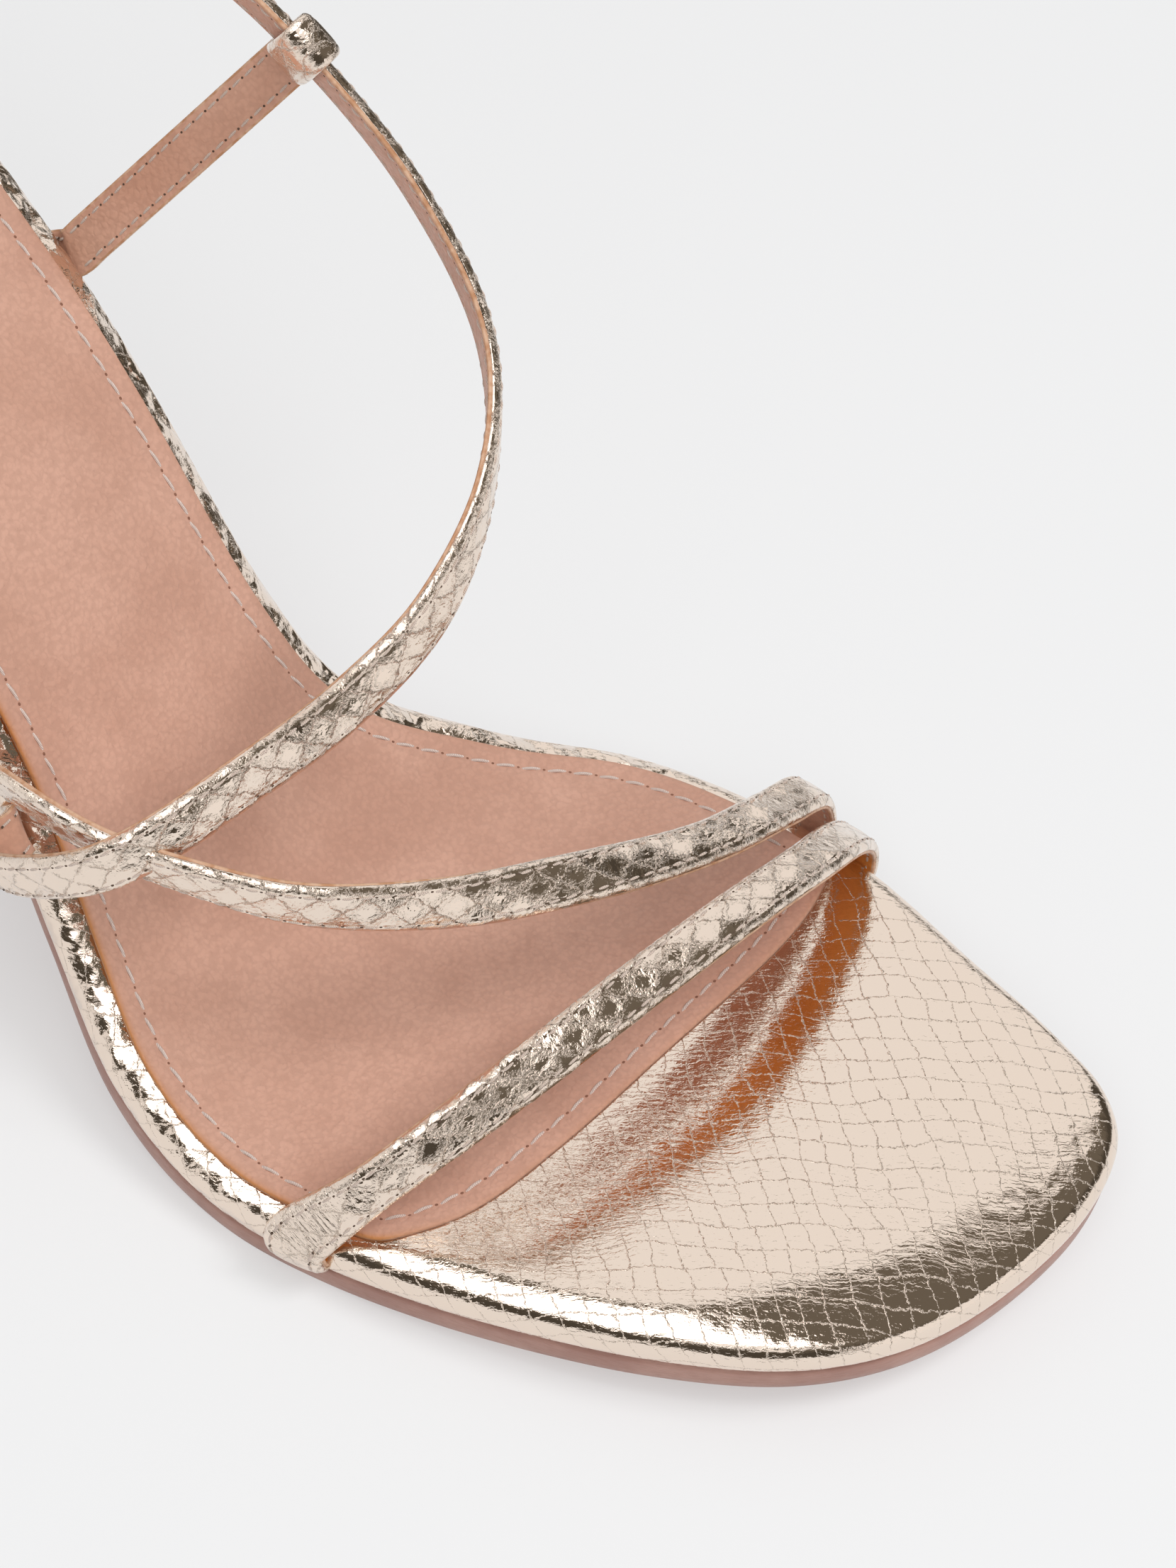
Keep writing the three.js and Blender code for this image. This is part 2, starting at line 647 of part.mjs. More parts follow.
// Covered heel: the seat's own plan, drawn in to the tip.
function widthAt(x, side) {
  return edgeAt(Math.max(x / soleLength, 0.0001), side).point.y;
}
const heelRows = 16;
const backShares = Array.from({ length: heelRows + 1 }, (_, i) => 1 - Math.cos((Math.PI * i) / 2 / heelRows));
const seatInset = 1.2;
const seatHalf = Math.max(widthAt(0.8 * heelSeat, "inner"), -widthAt(0.8 * heelSeat, "outer"));
const sectionCurve = new THREE.CatmullRomCurve3(
  heelSections.map((row) => new THREE.Vector3(row.length, row.width, row.back)),
  false,
  "centripetal",
);
const downCurve = new THREE.CatmullRomCurve3(
  heelSections.map((row) => new THREE.Vector3(row.down, 0, 0)),
  false,
  "centripetal",
);
const heelBase = topPieceHeight + gap;
function heelRing(t) {
  const size = sectionCurve.getPoint(t);
  const down = downCurve.getPoint(t).x;
  const length = heelTipLength + size.x * (heelSeat - heelTipLength - 2 * seatInset);
  const half = heelTipWidth / 2 + size.y * (seatHalf - heelTipWidth / 2 - seatInset);
  const back = size.z * heelSeat;
  const place = (share, side) => {
    const seatX = share * heelSeat;
    const x = back + share * length;
    const y = (widthAt(seatX, side) / seatHalf) * half;
    const top = lift(x, y, 0).z;
    return new THREE.Vector3(x, y, heelBase + (top - heelBase) * (1 - down));
  };
  const outer = backShares.map((share) => place(share, "outer"));
  const inner = backShares.map((share) => place(share, "inner")).reverse();
  outer[0] = inner[heelRows] = outer[0].clone().setY((outer[0].y + inner[heelRows].y) / 2);
  return [...outer, ...inner.slice(0, heelRows)];
}
function loft(rings) {
  const n = rings[0].length;
  const triangles = [];
  for (let r = 0; r < rings.length - 1; r += 1)
    for (let i = 0; i < n; i += 1) {
      const [a, b] = [r * n + i, r * n + ((i + 1) % n)];
      triangles.push(a, b, b + n, a, b + n, a + n);
    }
  const last = (rings.length - 1) * n;
  const half = Math.floor(n / 2);
  for (let i = 0; i < half; i += 1) {
    const [a, b] = [i, i + 1];
    const [c, d] = [n - i - 1, (n - i) % n];
    triangles.push(a, c, b, last + a, last + b, last + c);
    triangles.push(a, d, c, last + a, last + c, last + d);
  }
  return solid(rings.flat(), triangles);
}
const heelSteps = 16;
const heelRings = Array.from({ length: heelSteps + 1 }, (_, i) => heelRing(i / heelSteps));
const tipRing = heelRings[heelSteps];
const topPieceRings = [topPieceHeight, 0.12 * topPieceHeight, 0].map((z, i) => {
  const middle = tipRing.reduce((sum, p) => sum.add(p), new THREE.Vector3()).divideScalar(tipRing.length);
  const grow = i === 2 ? 0.97 : 1.03;
  return tipRing.map((p) =>
    new THREE.Vector3(middle.x + (p.x - middle.x) * grow, middle.y + (p.y - middle.y) * grow, z),
  );
});

// Outsole: full under the forefoot, thin under the arch, ends at the heel's front.
function outsoleDepth(x) {
  const share = x / soleLength;
  const fore = THREE.MathUtils.smoothstep(share, 0.44, 0.6);
  return THREE.MathUtils.lerp(outsoleWaist, outsoleThickness, fore);
}
function outsoleSide(point) {
  const fore = THREE.MathUtils.smoothstep(point.x / soleLength, 0.5, 0.62);
  return outsoleInset + (1 - fore) * outsoleInset;
}
const outsoleRings = [
  { inset: (p) => outsoleSide(p) + 0.9, height: (x) => -outsoleDepth(x) },
  { inset: (p) => outsoleSide(p) + 0.2, height: (x) => -outsoleDepth(x) * 0.8 },
  { inset: outsoleSide, height: always(0) },
];
const breast = Math.max(...heelRings[0].map((p) => p.x)) + gap;
const floorCut = prism(
  [
    [-soleLength, -ballWidth],
    [2 * soleLength, -ballWidth],
    [2 * soleLength, ballWidth],
    [-soleLength, ballWidth],
  ],
  -2 * outsoleThickness,
  0,
);
const breastCut = prism(
  [
    [-soleLength, -ballWidth],
    [breast, -ballWidth],
    [breast, ballWidth],
    [-soleLength, ballWidth],
  ],
  -soleLength,
  soleLength,
);
const outsole = layer(outsoleRings).subtract(floorCut).subtract(breastCut);

const stripGap = 2 * gap;
// A strap's clearance in the board: the same strip, wider, thicker and a gap longer.
function clear(controls, thickness) {
  const long = controls.map((control) => ({ ...control, point: control.point.clone() }));
  const last = long.length - 1;
  const away = (end, inside) =>
    end.add(end.clone().sub(inside).normalize().multiplyScalar(gap));
  away(long[0].point, long[1].point);
  away(long[last].point, long[last - 1].point);
  return strip(long, strapWidth + stripGap, thickness + stripGap);
}

const boardBodies = layer(boardRings)
  .subtract(sockSolid(gap, boardTop - sockSeat, 2 * boardTop, sockFront + gap))
  .subtract(clear(toeStrap, strapThickness))
  .subtract(clear(instepStrap, strapThickness))
  .subtract(clear(wrapStrap, strapThickness))
  .subtract(clear(innerStay, loopThickness))
  .subtract(clear(outerStay, loopThickness))
  .decompose();
// Slivers between neighbouring clearances go.
const board = boardBodies.reduce((most, body) => (body.volume() > most.volume() ? body : most));

addMesh("outsole", outsole, tan);
addMesh("wrapped_board", board, gold);
addMesh("sock_lining", sockSolid(0, boardTop - sockSeat + gap, sockTop, sockFront), nude);
addMesh("heel_block", loft(heelRings), gold);
addMesh("heel_top_piece", loft(topPieceRings), rubber);
addMesh("toe_strap", strip(toeStrap, strapWidth, strapThickness), gold);
addMesh(
  "crossed_straps",
  strip(instepStrap, strapWidth, strapThickness)
    .add(strip(wrapStrap, strapWidth, strapThickness))
    .subtract(prongClear),
  gold,
);
addMesh(
  "inner_stay",
  strip(innerStay, strapWidth, loopThickness).add(strip(innerFold, strapWidth, loopThickness)),
  gold,
);
addMesh(
  "buckle_stay",
  strip(outerStay, strapWidth, loopThickness)
    .add(strip(outerFold, strapWidth, loopThickness))
    .subtract(prongClear),
  gold,
);
addMesh("buckle_frame", frame, metal);
addMesh("buckle_prong", prong, metal);

// The finished shoe is moved so that its origin lies on the floor under the middle of its box.
const middle = new THREE.Box3().setFromObject(group).getCenter(new THREE.Vector3());
group.position.set(-middle.x, -middle.y, 0);

export default group;
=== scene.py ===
import math

import bmesh
import bpy
import numpy as np
from mathutils import Matrix, Vector, geometry


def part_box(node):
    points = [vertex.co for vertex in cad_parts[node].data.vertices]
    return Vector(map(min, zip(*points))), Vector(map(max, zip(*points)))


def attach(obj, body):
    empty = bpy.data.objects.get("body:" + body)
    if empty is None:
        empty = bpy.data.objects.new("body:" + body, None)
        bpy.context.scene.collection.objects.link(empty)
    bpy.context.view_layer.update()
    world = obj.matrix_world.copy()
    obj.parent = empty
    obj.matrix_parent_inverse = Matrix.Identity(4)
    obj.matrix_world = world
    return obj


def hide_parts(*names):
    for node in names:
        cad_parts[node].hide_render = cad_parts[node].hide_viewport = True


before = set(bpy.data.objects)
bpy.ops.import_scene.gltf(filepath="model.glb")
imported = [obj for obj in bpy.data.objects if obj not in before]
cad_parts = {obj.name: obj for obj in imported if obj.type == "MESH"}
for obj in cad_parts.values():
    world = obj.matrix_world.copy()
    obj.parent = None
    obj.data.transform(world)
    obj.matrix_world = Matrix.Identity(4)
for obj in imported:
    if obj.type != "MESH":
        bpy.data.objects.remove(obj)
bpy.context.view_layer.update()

# Outsole: one sheet of smooth tan leather under the board, full under the forefoot and skived
# thin under the arch. It is cemented on, its cut edge is waxed, and it ends at the heel's front.
# Lengths are in millimetres, x from the back of the footbed, y to the inner side, z from the floor.
sole_length = 229.0
ball_width = 84.0
heel_rise = 74.5
toe_spring = 6.0
outsole_thickness = 3.0
outsole_waist = 1.5
tread_flat = 0.25
outsole_inset = 0.5
board_thickness = 6.0
heel_front = 44.82

# Side view of the footbed: shares of the sole's length, the heel's rise and the toe spring.
footline = [
    # along, heel, toe
    (0.0, 1.0, 0),
    (0.087, 0.941, 0),
    (0.175, 0.878, 0),
    (0.262, 0.796, 0),
    (0.349, 0.66, 0),
    (0.415, 0.488, 0),
    (0.459, 0.335, 0),
    (0.502, 0.19, 0),
    (0.546, 0.094, 0),
    (0.6, 0.026, 0),
    (0.65, 0.002, 0),
    (0.7, 0, 0.05),
    (0.76, 0, 0.3),
    (0.84, 0, 0.66),
    (0.92, 0, 0.93),
    (1.0, 0, 1.0),
]
# Plan outline: shares of the sole's length and of the ball's width to either side.
outline = [
    # along, inner, outer
    (0.0065, 0.125, 0.138),
    (0.022, 0.2, 0.207),
    (0.048, 0.265, 0.265),
    (0.09, 0.315, 0.308),
    (0.153, 0.333, 0.327),
    (0.22, 0.316, 0.321),
    (0.306, 0.263, 0.312),
    (0.385, 0.212, 0.316),
    (0.448, 0.184, 0.348),
    (0.502, 0.205, 0.406),
    (0.568, 0.325, 0.487),
    (0.643, 0.452, 0.526),
    (0.712, 0.487, 0.515),
    (0.79, 0.467, 0.474),
    (0.873, 0.4, 0.398),
    (0.932, 0.357, 0.306),
    (0.967, 0.32, 0.2),
    (0.988, 0.262, 0.07),
]
heel_point = (0.0, 0.0)
toe_point = (0.9985, 0.13)


def smooth_at(controls, places, closed=False):
    """Points of a centripetal curve through the controls, at places counted in spans."""
    controls = np.asarray(controls, float)
    count = len(controls)
    spans = count if closed else count - 1
    places = np.asarray(places, float)
    k = np.minimum(np.floor(places).astype(int), spans - 1)
    t = (places - k)[:, None]
    if closed:
        four = [controls[(k + j) % count] for j in (-1, 0, 1, 2)]
    else:
        before_first = 2 * controls[:1] - controls[1:2]
        after_last = 2 * controls[-1:] - controls[-2:-1]
        wide = np.vstack([before_first, controls, after_last])
        four = [wide[k + j] for j in (0, 1, 2, 3)]
    chords = [np.linalg.norm(four[j + 1] - four[j], axis=1) for j in range(3)]
    gaps = [np.maximum(chord, 1e-8)[:, None] ** 0.5 for chord in chords]
    a, b, c, d = four
    before = ((b - a) / gaps[0] - (c - a) / (gaps[0] + gaps[1]) + (c - b) / gaps[1]) * gaps[1]
    after = ((c - b) / gaps[1] - (d - b) / (gaps[1] + gaps[2]) + (d - c) / gaps[2]) * gaps[1]
    square = -3 * b + 3 * c - 2 * before - after
    cube = 2 * b - 2 * c + before + after
    return b + before * t + square * t**2 + cube * t**3


def unit(vectors):
    return vectors / np.maximum(np.linalg.norm(vectors, axis=-1, keepdims=True), 1e-12)


def smooth_step(low, high, value):
    t = np.clip((np.asarray(value, float) - low) / (high - low), 0, 1)
    return t * t * (3 - 2 * t)


def run_along(points):
    """How far along a path each of its points lies."""
    return np.concatenate([[0], np.cumsum(np.linalg.norm(np.diff(points, axis=0), axis=1))])


base_height = outsole_thickness - tread_flat
line_controls = [
    (along * sole_length, 0, base_height + heel * heel_rise + toe * toe_spring)
    for along, heel, toe in footline
]
line_places = 600
line = smooth_at(line_controls, np.linspace(0, len(footline) - 1, line_places))
line_run = run_along(line)


def footbed_height(x):
    """Height of the base line at x, carried on straight past its ends."""
    start = (line[1, 2] - line[0, 2]) / (line[1, 0] - line[0, 0])
    end = (line[-1, 2] - line[-2, 2]) / (line[-1, 0] - line[-2, 0])
    z = np.interp(x, line[:, 0], line[:, 2])
    return z + start * np.minimum(x - line[0, 0], 0) + end * np.maximum(x - line[-1, 0], 0)


def lift(x, y, height):
    """Points over the base line, square to it."""
    x, y, height = np.broadcast_arrays(np.asarray(x, float), y, height)
    run = 3.0
    rise = footbed_height(x + run) - footbed_height(x - run)
    normal = unit(np.stack([-rise, np.zeros_like(x), np.full_like(x, 2 * run)], -1))
    return np.stack([x, y, footbed_height(x)], -1) + normal * height[..., None]


outline_controls = (
    [(heel_point[0] * sole_length, heel_point[1] * ball_width)]
    + [(along * sole_length, -outer * ball_width) for along, inner, outer in outline]
    + [(toe_point[0] * sole_length, toe_point[1] * ball_width)]
    + [(along * sole_length, inner * ball_width) for along, inner, outer in reversed(outline)]
)
edge_parts = 14
edge_places = np.arange(len(outline_controls) * edge_parts) / edge_parts
edge = smooth_at(outline_controls, edge_places, closed=True)
edge_count = len(edge)
edge_half = edge_count // 2
edge_tangent = unit(np.roll(edge, -1, axis=0) - np.roll(edge, 1, axis=0))
edge_out = np.stack([edge_tangent[:, 1], -edge_tangent[:, 0]], -1)

# The row frame's origin lies under the middle of the shoe's box.
widest = lift(edge[:, 0], edge[:, 1], 0.38 * board_thickness)
board_low, board_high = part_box("wrapped_board")
shift = [
    (board_low[i] + board_high[i]) * 500 - (widest[:, i].min() + widest[:, i].max()) / 2 for i in (0, 1)
]


def to_row(points):
    """Millimetres of the shoe's own frame to metres of the row frame."""
    return (np.asarray(points, float) + [shift[0], shift[1], 0]) * 0.001


def make_piece(name, points, faces, uv=None, materials=(), face_materials=None, attributes=None):
    """A smooth-shaded mesh object from points in the shoe's frame."""
    mesh = bpy.data.meshes.new(name)
    mesh.from_pydata([tuple(p) for p in to_row(points)], [], [tuple(int(i) for i in f) for f in faces])
    mesh.shade_smooth()
    if uv is not None:
        layer = mesh.uv_layers.new(name="leather")
        layer.data.foreach_set("uv", np.concatenate([np.asarray(u, float).ravel() for u in uv]))
    for title, values in (attributes or {}).items():
        layer = mesh.attributes.new(title, "FLOAT", "POINT")
        layer.data.foreach_set("value", np.asarray(values, np.float32))
    for material in materials:
        mesh.materials.append(material)
    if face_materials is not None:
        mesh.polygons.foreach_set("material_index", np.asarray(face_materials, np.int32))
    mesh.validate()
    mesh.update()
    piece = bpy.data.objects.new(name, mesh)
    bpy.context.scene.collection.objects.link(piece)
    return piece


def set_in(inset):
    """The outline's points, moved inward."""
    return edge - edge_out * np.broadcast_to(inset, (edge_count,))[:, None]


def laid_flat(points):
    """Where points over the board lie on the leather: run along the base line, and across it."""
    return np.stack([np.interp(points[:, 0], line[:, 0], line_run), points[:, 1]], -1)


def band(first, second, count):
    """Faces between two rings of points, which start at these numbers."""
    ahead = [(i + 1) % count for i in range(count)]
    return [(first + i, first + k, second + k, second + i) for i, k in enumerate(ahead)]


def no_crown(x, y):
    return 0 * x


def ringed_form(name, rings, columns, crown=no_crown, **looks):
    """A closed form from rings set in from the outline, from the middle below to the middle above."""
    points = []
    uv = []
    for inset, height in rings:
        at = set_in(inset)
        points.append(lift(at[:, 0], at[:, 1], height))
    top_flat = laid_flat(set_in(rings[-1][0]))
    reach = np.zeros(edge_count)
    for j in reversed(range(len(rings))):
        if j < len(rings) - 1:
            reach = reach + np.linalg.norm(points[j + 1] - points[j], axis=1)
        uv.insert(0, top_flat + edge_out * reach[:, None])
    points = np.concatenate(points)
    uv = np.concatenate(uv)
    faces = []
    n = edge_count
    last = (len(rings) - 1) * n
    for j in range(0, last, n):
        faces += band(j, j + n, n)
    shares = np.arange(1, columns + 1) / (columns + 1)
    for base, (inset, height), upward in ((0, rings[0], False), (last, rings[-1], True)):
        plan = set_in(inset)
        rows = []
        extra = []
        for i in range(1, edge_half):
            a, b = plan[i], plan[n - i]
            at = a + (b - a) * shares[:, None]
            bow = crown(at[:, 0], at[:, 1]) if upward else 0.0
            tall = np.interp(at[:, 0], plan[:edge_half, 0], np.broadcast_to(height, (n,))[:edge_half])
            extra.append(lift(at[:, 0], at[:, 1], tall + bow))
            first = len(points) + (i - 1) * columns
            rows.append([base + i, *range(first, first + columns), base + n - i])
        extra = np.concatenate(extra)
        points = np.concatenate([points, extra])
        uv = np.concatenate([uv, laid_flat(extra)])
        ends = [[base] * (columns + 2), *rows, [base + edge_half] * (columns + 2)]
        for r, s in zip(ends, ends[1:]):
            for c in range(columns + 1):
                face = [r[c], r[c + 1], s[c + 1], s[c]]
                face = [v for at, v in enumerate(face) if v not in face[:at]]
                faces.append(face[::-1] if upward else face)
    corners = [uv[list(f)] for f in faces]
    return make_piece(name, points, faces, uv=corners, **looks)


def outsole_side(x):
    fore = smooth_step(0.5, 0.62, x / sole_length)
    return outsole_inset * (2 - fore)


def outsole_depth(x):
    fore = smooth_step(0.44, 0.6, x / sole_length)
    return outsole_waist + (outsole_thickness - outsole_waist) * fore


def feed(tree, socket, value):
    """Gives an input its value: another node's output, or a plain value."""
    if isinstance(value, bpy.types.NodeSocket):
        tree.links.new(value, socket)
    else:
        socket.default_value = value


def node(tree, kind, *values, inputs=None, **settings):
    """A node with its inputs in order or by name, and its settings."""
    made = tree.nodes.new(kind)
    for key, value in settings.items():
        setattr(made, key, value)
    for socket, value in zip([s for s in made.inputs if s.enabled], values):
        feed(tree, socket, value)
    for name, value in (inputs or {}).items():
        feed(tree, made.inputs[name], value)
    return made


def calc(tree, operation, *values):
    return node(tree, "ShaderNodeMath", *values, operation=operation).outputs[0]


def vector_calc(tree, operation, *values):
    made = node(tree, "ShaderNodeVectorMath", *values, operation=operation)
    return made.outputs["Value" if operation in ("DOT_PRODUCT", "LENGTH") else "Vector"]


def ramp(tree, value, low, high, out_low=0.0, out_high=1.0, smooth=True):
    kind = "SMOOTHSTEP" if smooth else "LINEAR"
    return node(
        tree, "ShaderNodeMapRange", value, low, high, out_low, out_high, interpolation_type=kind
    ).outputs[0]


def noise(tree, place, scale, detail=3.0, rough=0.5, output="Fac"):
    sizes = {"Vector": place, "Scale": scale, "Detail": detail, "Roughness": rough}
    return node(tree, "ShaderNodeTexNoise", inputs=sizes).outputs[output]


def mix_colour(tree, share, first, second):
    made = node(tree, "ShaderNodeMix", data_type="RGBA")
    for name, value in (("Factor_Float", share), ("A_Color", first), ("B_Color", second)):
        feed(tree, next(s for s in made.inputs if s.identifier == name), value)
    return next(s for s in made.outputs if s.identifier == "Result_Color")


def darker(colour, share):
    return tuple(share * c for c in colour[:3]) + (1,)


def start_material(name, uv_map=None):
    """A new material with its shader, and the coordinates that its pattern reads, in millimetres."""
    material = bpy.data.materials.new(name)
    material.use_nodes = True
    tree = material.node_tree
    tree.nodes.clear()
    shader = node(tree, "ShaderNodeBsdfPrincipled")
    finish = node(tree, "ShaderNodeOutputMaterial")
    tree.links.new(shader.outputs[0], finish.inputs["Surface"])
    if uv_map:
        place = node(tree, "ShaderNodeUVMap", uv_map=uv_map).outputs[0]
    else:
        source = node(tree, "ShaderNodeTexCoord").outputs["Object"]
        place = vector_calc(tree, "MULTIPLY", source, (1000.0, 1000.0, 1000.0))
    return material, tree, shader, place


def set_looks(tree, shader, looks, *relief):
    """Feeds the shader's inputs by name, and its bump from patterns with heights in millimetres."""
    for name, value in looks.items():
        feed(tree, shader.inputs[name], value)
    height = None
    for pattern, tall in relief:
        layer = calc(tree, "MULTIPLY", pattern, tall)
        height = layer if height is None else calc(tree, "ADD", height, layer)
    if relief:
        sizes = {"Strength": 1.0, "Distance": 0.001, "Height": height}
        bump = node(tree, "ShaderNodeBump", inputs=sizes)
        tree.links.new(bump.outputs[0], shader.inputs["Normal"])


def sole_leather():
    """Smooth rosy-tan sole leather with faint fibres and a waxed sheen."""
    material, tree, shader, place = start_material("sole_leather")
    cloud = noise(tree, place, 0.12, 4)
    layers = vector_calc(tree, "MULTIPLY", place, (0.4, 0.4, 3.0))
    fibre = noise(tree, layers, 1.6, 5, 0.65)
    tan_dark = (0.36, 0.185, 0.145, 1)
    tan_light = (0.44, 0.245, 0.195, 1)
    tan_fibre = (0.25, 0.12, 0.09, 1)
    tone = mix_colour(tree, ramp(tree, cloud, 0.35, 0.65), tan_dark, tan_light)
    tone = mix_colour(tree, ramp(tree, fibre, 0.45, 0.75, 0, 0.35), tone, tan_fibre)
    looks = {
        "Base Color": tone,
        "Roughness": ramp(tree, fibre, 0.3, 0.7, 0.34, 0.5),
        "Coat Weight": 0.15,
        "Coat Roughness": 0.3,
    }
    set_looks(tree, shader, looks, (fibre, 0.06))
    return material


depth = outsole_depth(edge[:, 0])
side = outsole_side(edge[:, 0])
outsole_rings = [
    # set in from the outline, height over the base line
    (side + 1.1, -depth),
    (side + 0.45, -depth),
    (side + 0.12, -depth * 0.88),
    (side, -depth * 0.6),
    (side, -depth * 0.2),
    (side + 0.1, 0.12),
    (side + 0.6, 0.2),
]
outsole_columns = 16
outsole = ringed_form("outsole_leather", outsole_rings, outsole_columns, materials=[sole_leather()])
# The tread ends flat on the floor where it bears.
for vertex in outsole.data.vertices:
    vertex.co.z = max(vertex.co.z, 0.0)
form = bmesh.new()
form.from_mesh(outsole.data)
bmesh.ops.bisect_plane(
    form,
    geom=form.verts[:] + form.edges[:] + form.faces[:],
    plane_co=((heel_front + shift[0]) * 0.001, 0, 0),
    plane_no=(-1, 0, 0),
    clear_outer=True,
)
bmesh.ops.holes_fill(form, edges=[e for e in form.edges if e.is_boundary])
form.to_mesh(outsole.data)
form.free()
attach(outsole, "root")
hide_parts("outsole")

# Wrapped board: a stiff insole board with a thin cushion, covered in champagne foil leather that
# is stamped with a snake's scales. The leather is drawn round the edge and lasted underneath.
board_roll = 4.6
cushion_crown = 0.45
toe_round = 4.5
toe_drop = 0.8
scale_width = 3.0
row_pitch = 3.05
row_slip = 1.0
row_angle = math.radians(33)
foil_light = (0.87, 0.74, 0.63, 1)
foil_worn = (0.30, 0.235, 0.17, 1)

outer_edge = edge[: edge_half + 1]
inner_edge = np.vstack([edge[:1], edge[: edge_half - 1 : -1]])


def board_crown(x, y):
    """How far the cushion rises over the board's flat top, from nothing where its edge rolls over."""
    roll = 1.2 * board_roll + toe_round * smooth_step(0.8, 0.88, x / sole_length)
    low = np.interp(x, outer_edge[:, 0], outer_edge[:, 1]) + roll
    high = np.interp(x, inner_edge[:, 0], inner_edge[:, 1]) - roll
    share = np.clip((y - low) / np.maximum(high - low, 1e-6), 0, 1)
    ends = smooth_step(roll, 4 * roll, x) * smooth_step(roll, 3.5 * roll, sole_length - x)
    return cushion_crown * (1 - (2 * share - 1) ** 2) ** 2 * ends


def foil_finish(tree, shader, worn, sheen, *relief):
    """Metallic foil: pale gold, darker and duller where the stamping has cracked it."""
    tone = mix_colour(tree, worn, foil_light, foil_worn)
    rough = calc(tree, "ADD", sheen, calc(tree, "MULTIPLY", worn, 0.25))
    set_looks(tree, shader, {"Base Color": tone, "Roughness": rough, "Metallic": 1.0}, *relief)


def drifted(tree, place, reach, *pattern):
    """A cloudy shift of the leather's places, by up to half the reach either way."""
    centre = (0.5, 0.5, 0.5)
    cloud = vector_calc(tree, "SUBTRACT", noise(tree, place, *pattern, output="Color"), centre)
    return vector_calc(tree, "MULTIPLY", cloud, (reach, reach, 0))


def cell_tilt(tree, first, second):
    """Each scale leans its own way. The scales are counted in two directions."""
    cell = node(tree, "ShaderNodeCombineXYZ", calc(tree, "FLOOR", first), calc(tree, "FLOOR", second), 0.0)
    sizes = {"Vector": cell.outputs[0]}
    chance = node(tree, "ShaderNodeTexWhiteNoise", noise_dimensions="2D", inputs=sizes)
    turn = vector_calc(tree, "SUBTRACT", chance.outputs["Color"], (0.5, 0.5, 0.5))
    within = [calc(tree, "SUBTRACT", calc(tree, "FRACT", at), 0.5) for at in (first, second)]
    inside = node(tree, "ShaderNodeCombineXYZ", *within, 0.0).outputs[0]
    return vector_calc(tree, "DOT_PRODUCT", turn, inside)


def board_leather():
    """Foil leather stamped with rows of slanted scales, as it lies on the board and the heel."""
    material, tree, shader, place = start_material("board_foil_leather", "leather")
    at = vector_calc(tree, "ADD", place, drifted(tree, place, 3.4, 0.09, 1))
    at = vector_calc(tree, "ADD", at, drifted(tree, place, 0.9, 1.1, 3, 0.6))
    along = (math.cos(row_angle), math.sin(row_angle))
    ahead = (-math.sin(row_angle), math.cos(row_angle))
    lean = row_slip / row_pitch / scale_width
    column_axis = (along[0] / scale_width + ahead[0] * lean, along[1] / scale_width + ahead[1] * lean, 0)
    row = vector_calc(tree, "DOT_PRODUCT", at, (-ahead[0] / row_pitch, -ahead[1] / row_pitch, 0))
    row_number = calc(tree, "FLOOR", row)
    jog = node(tree, "ShaderNodeTexWhiteNoise", noise_dimensions="1D", inputs={"W": row_number})
    jogged = ramp(tree, jog.outputs["Value"], 0, 1, -0.1, 0.1, smooth=False)
    column = calc(tree, "ADD", vector_calc(tree, "DOT_PRODUCT", at, column_axis), jogged)
    row_gap = calc(tree, "MULTIPLY", calc(tree, "PINGPONG", row, 0.5), row_pitch)
    column_gap = calc(tree, "MULTIPLY", calc(tree, "PINGPONG", column, 0.5), scale_width)
    fray = noise(tree, place, 3.6, 3, 0.65)
    frayed = ramp(tree, fray, 0.25, 0.75, -0.10, 0.10, smooth=False)
    broken = ramp(tree, noise(tree, place, 1.3, 1), 0.45, 0.6, 0.0, 0.07)
    thin_gap = calc(tree, "ADD", column_gap, calc(tree, "ADD", broken, 0.01))
    nearest = calc(tree, "MINIMUM", calc(tree, "ADD", row_gap, broken), thin_gap)
    plate = ramp(tree, calc(tree, "ADD", nearest, frayed), 0.0, 0.14)
    dome = ramp(tree, nearest, 0.0, 1.5)
    tilt = cell_tilt(tree, column, row)
    streak_axis = node(
        tree,
        "ShaderNodeCombineXYZ",
        vector_calc(tree, "DOT_PRODUCT", at, (along[0] * 0.45, along[1] * 0.45, 0)),
        vector_calc(tree, "DOT_PRODUCT", at, (ahead[0] * 2.6, ahead[1] * 2.6, 0)),
        0.0,
    ).outputs[0]
    streak = noise(tree, streak_axis, 1.0, 2, 0.5)
    crinkle = noise(tree, place, 3.0, 1, 0.5)
    open_line = calc(tree, "SUBTRACT", 1.0, plate)
    rolled = node(tree, "ShaderNodeAttribute", attribute_name="rolled").outputs["Fac"]
    wrinkle = noise(tree, place, 0.42, 1, 0.4)
    worn = calc(tree, "MULTIPLY", open_line, ramp(tree, fray, 0.4, 0.62, 0.05, 0.55))
    foil_finish(
        tree,
        shader,
        worn,
        ramp(tree, streak, 0.3, 0.75, 0.03, 0.06),
        (plate, 0.05),
        (dome, 0.012),
        (tilt, ramp(tree, rolled, 0, 1, 0.07, 1.5)),
        (streak, 0.045),
        (calc(tree, "MULTIPLY", wrinkle, rolled), 1.2),
        (calc(tree, "MULTIPLY", crinkle, open_line), 0.17),
    )
    return material


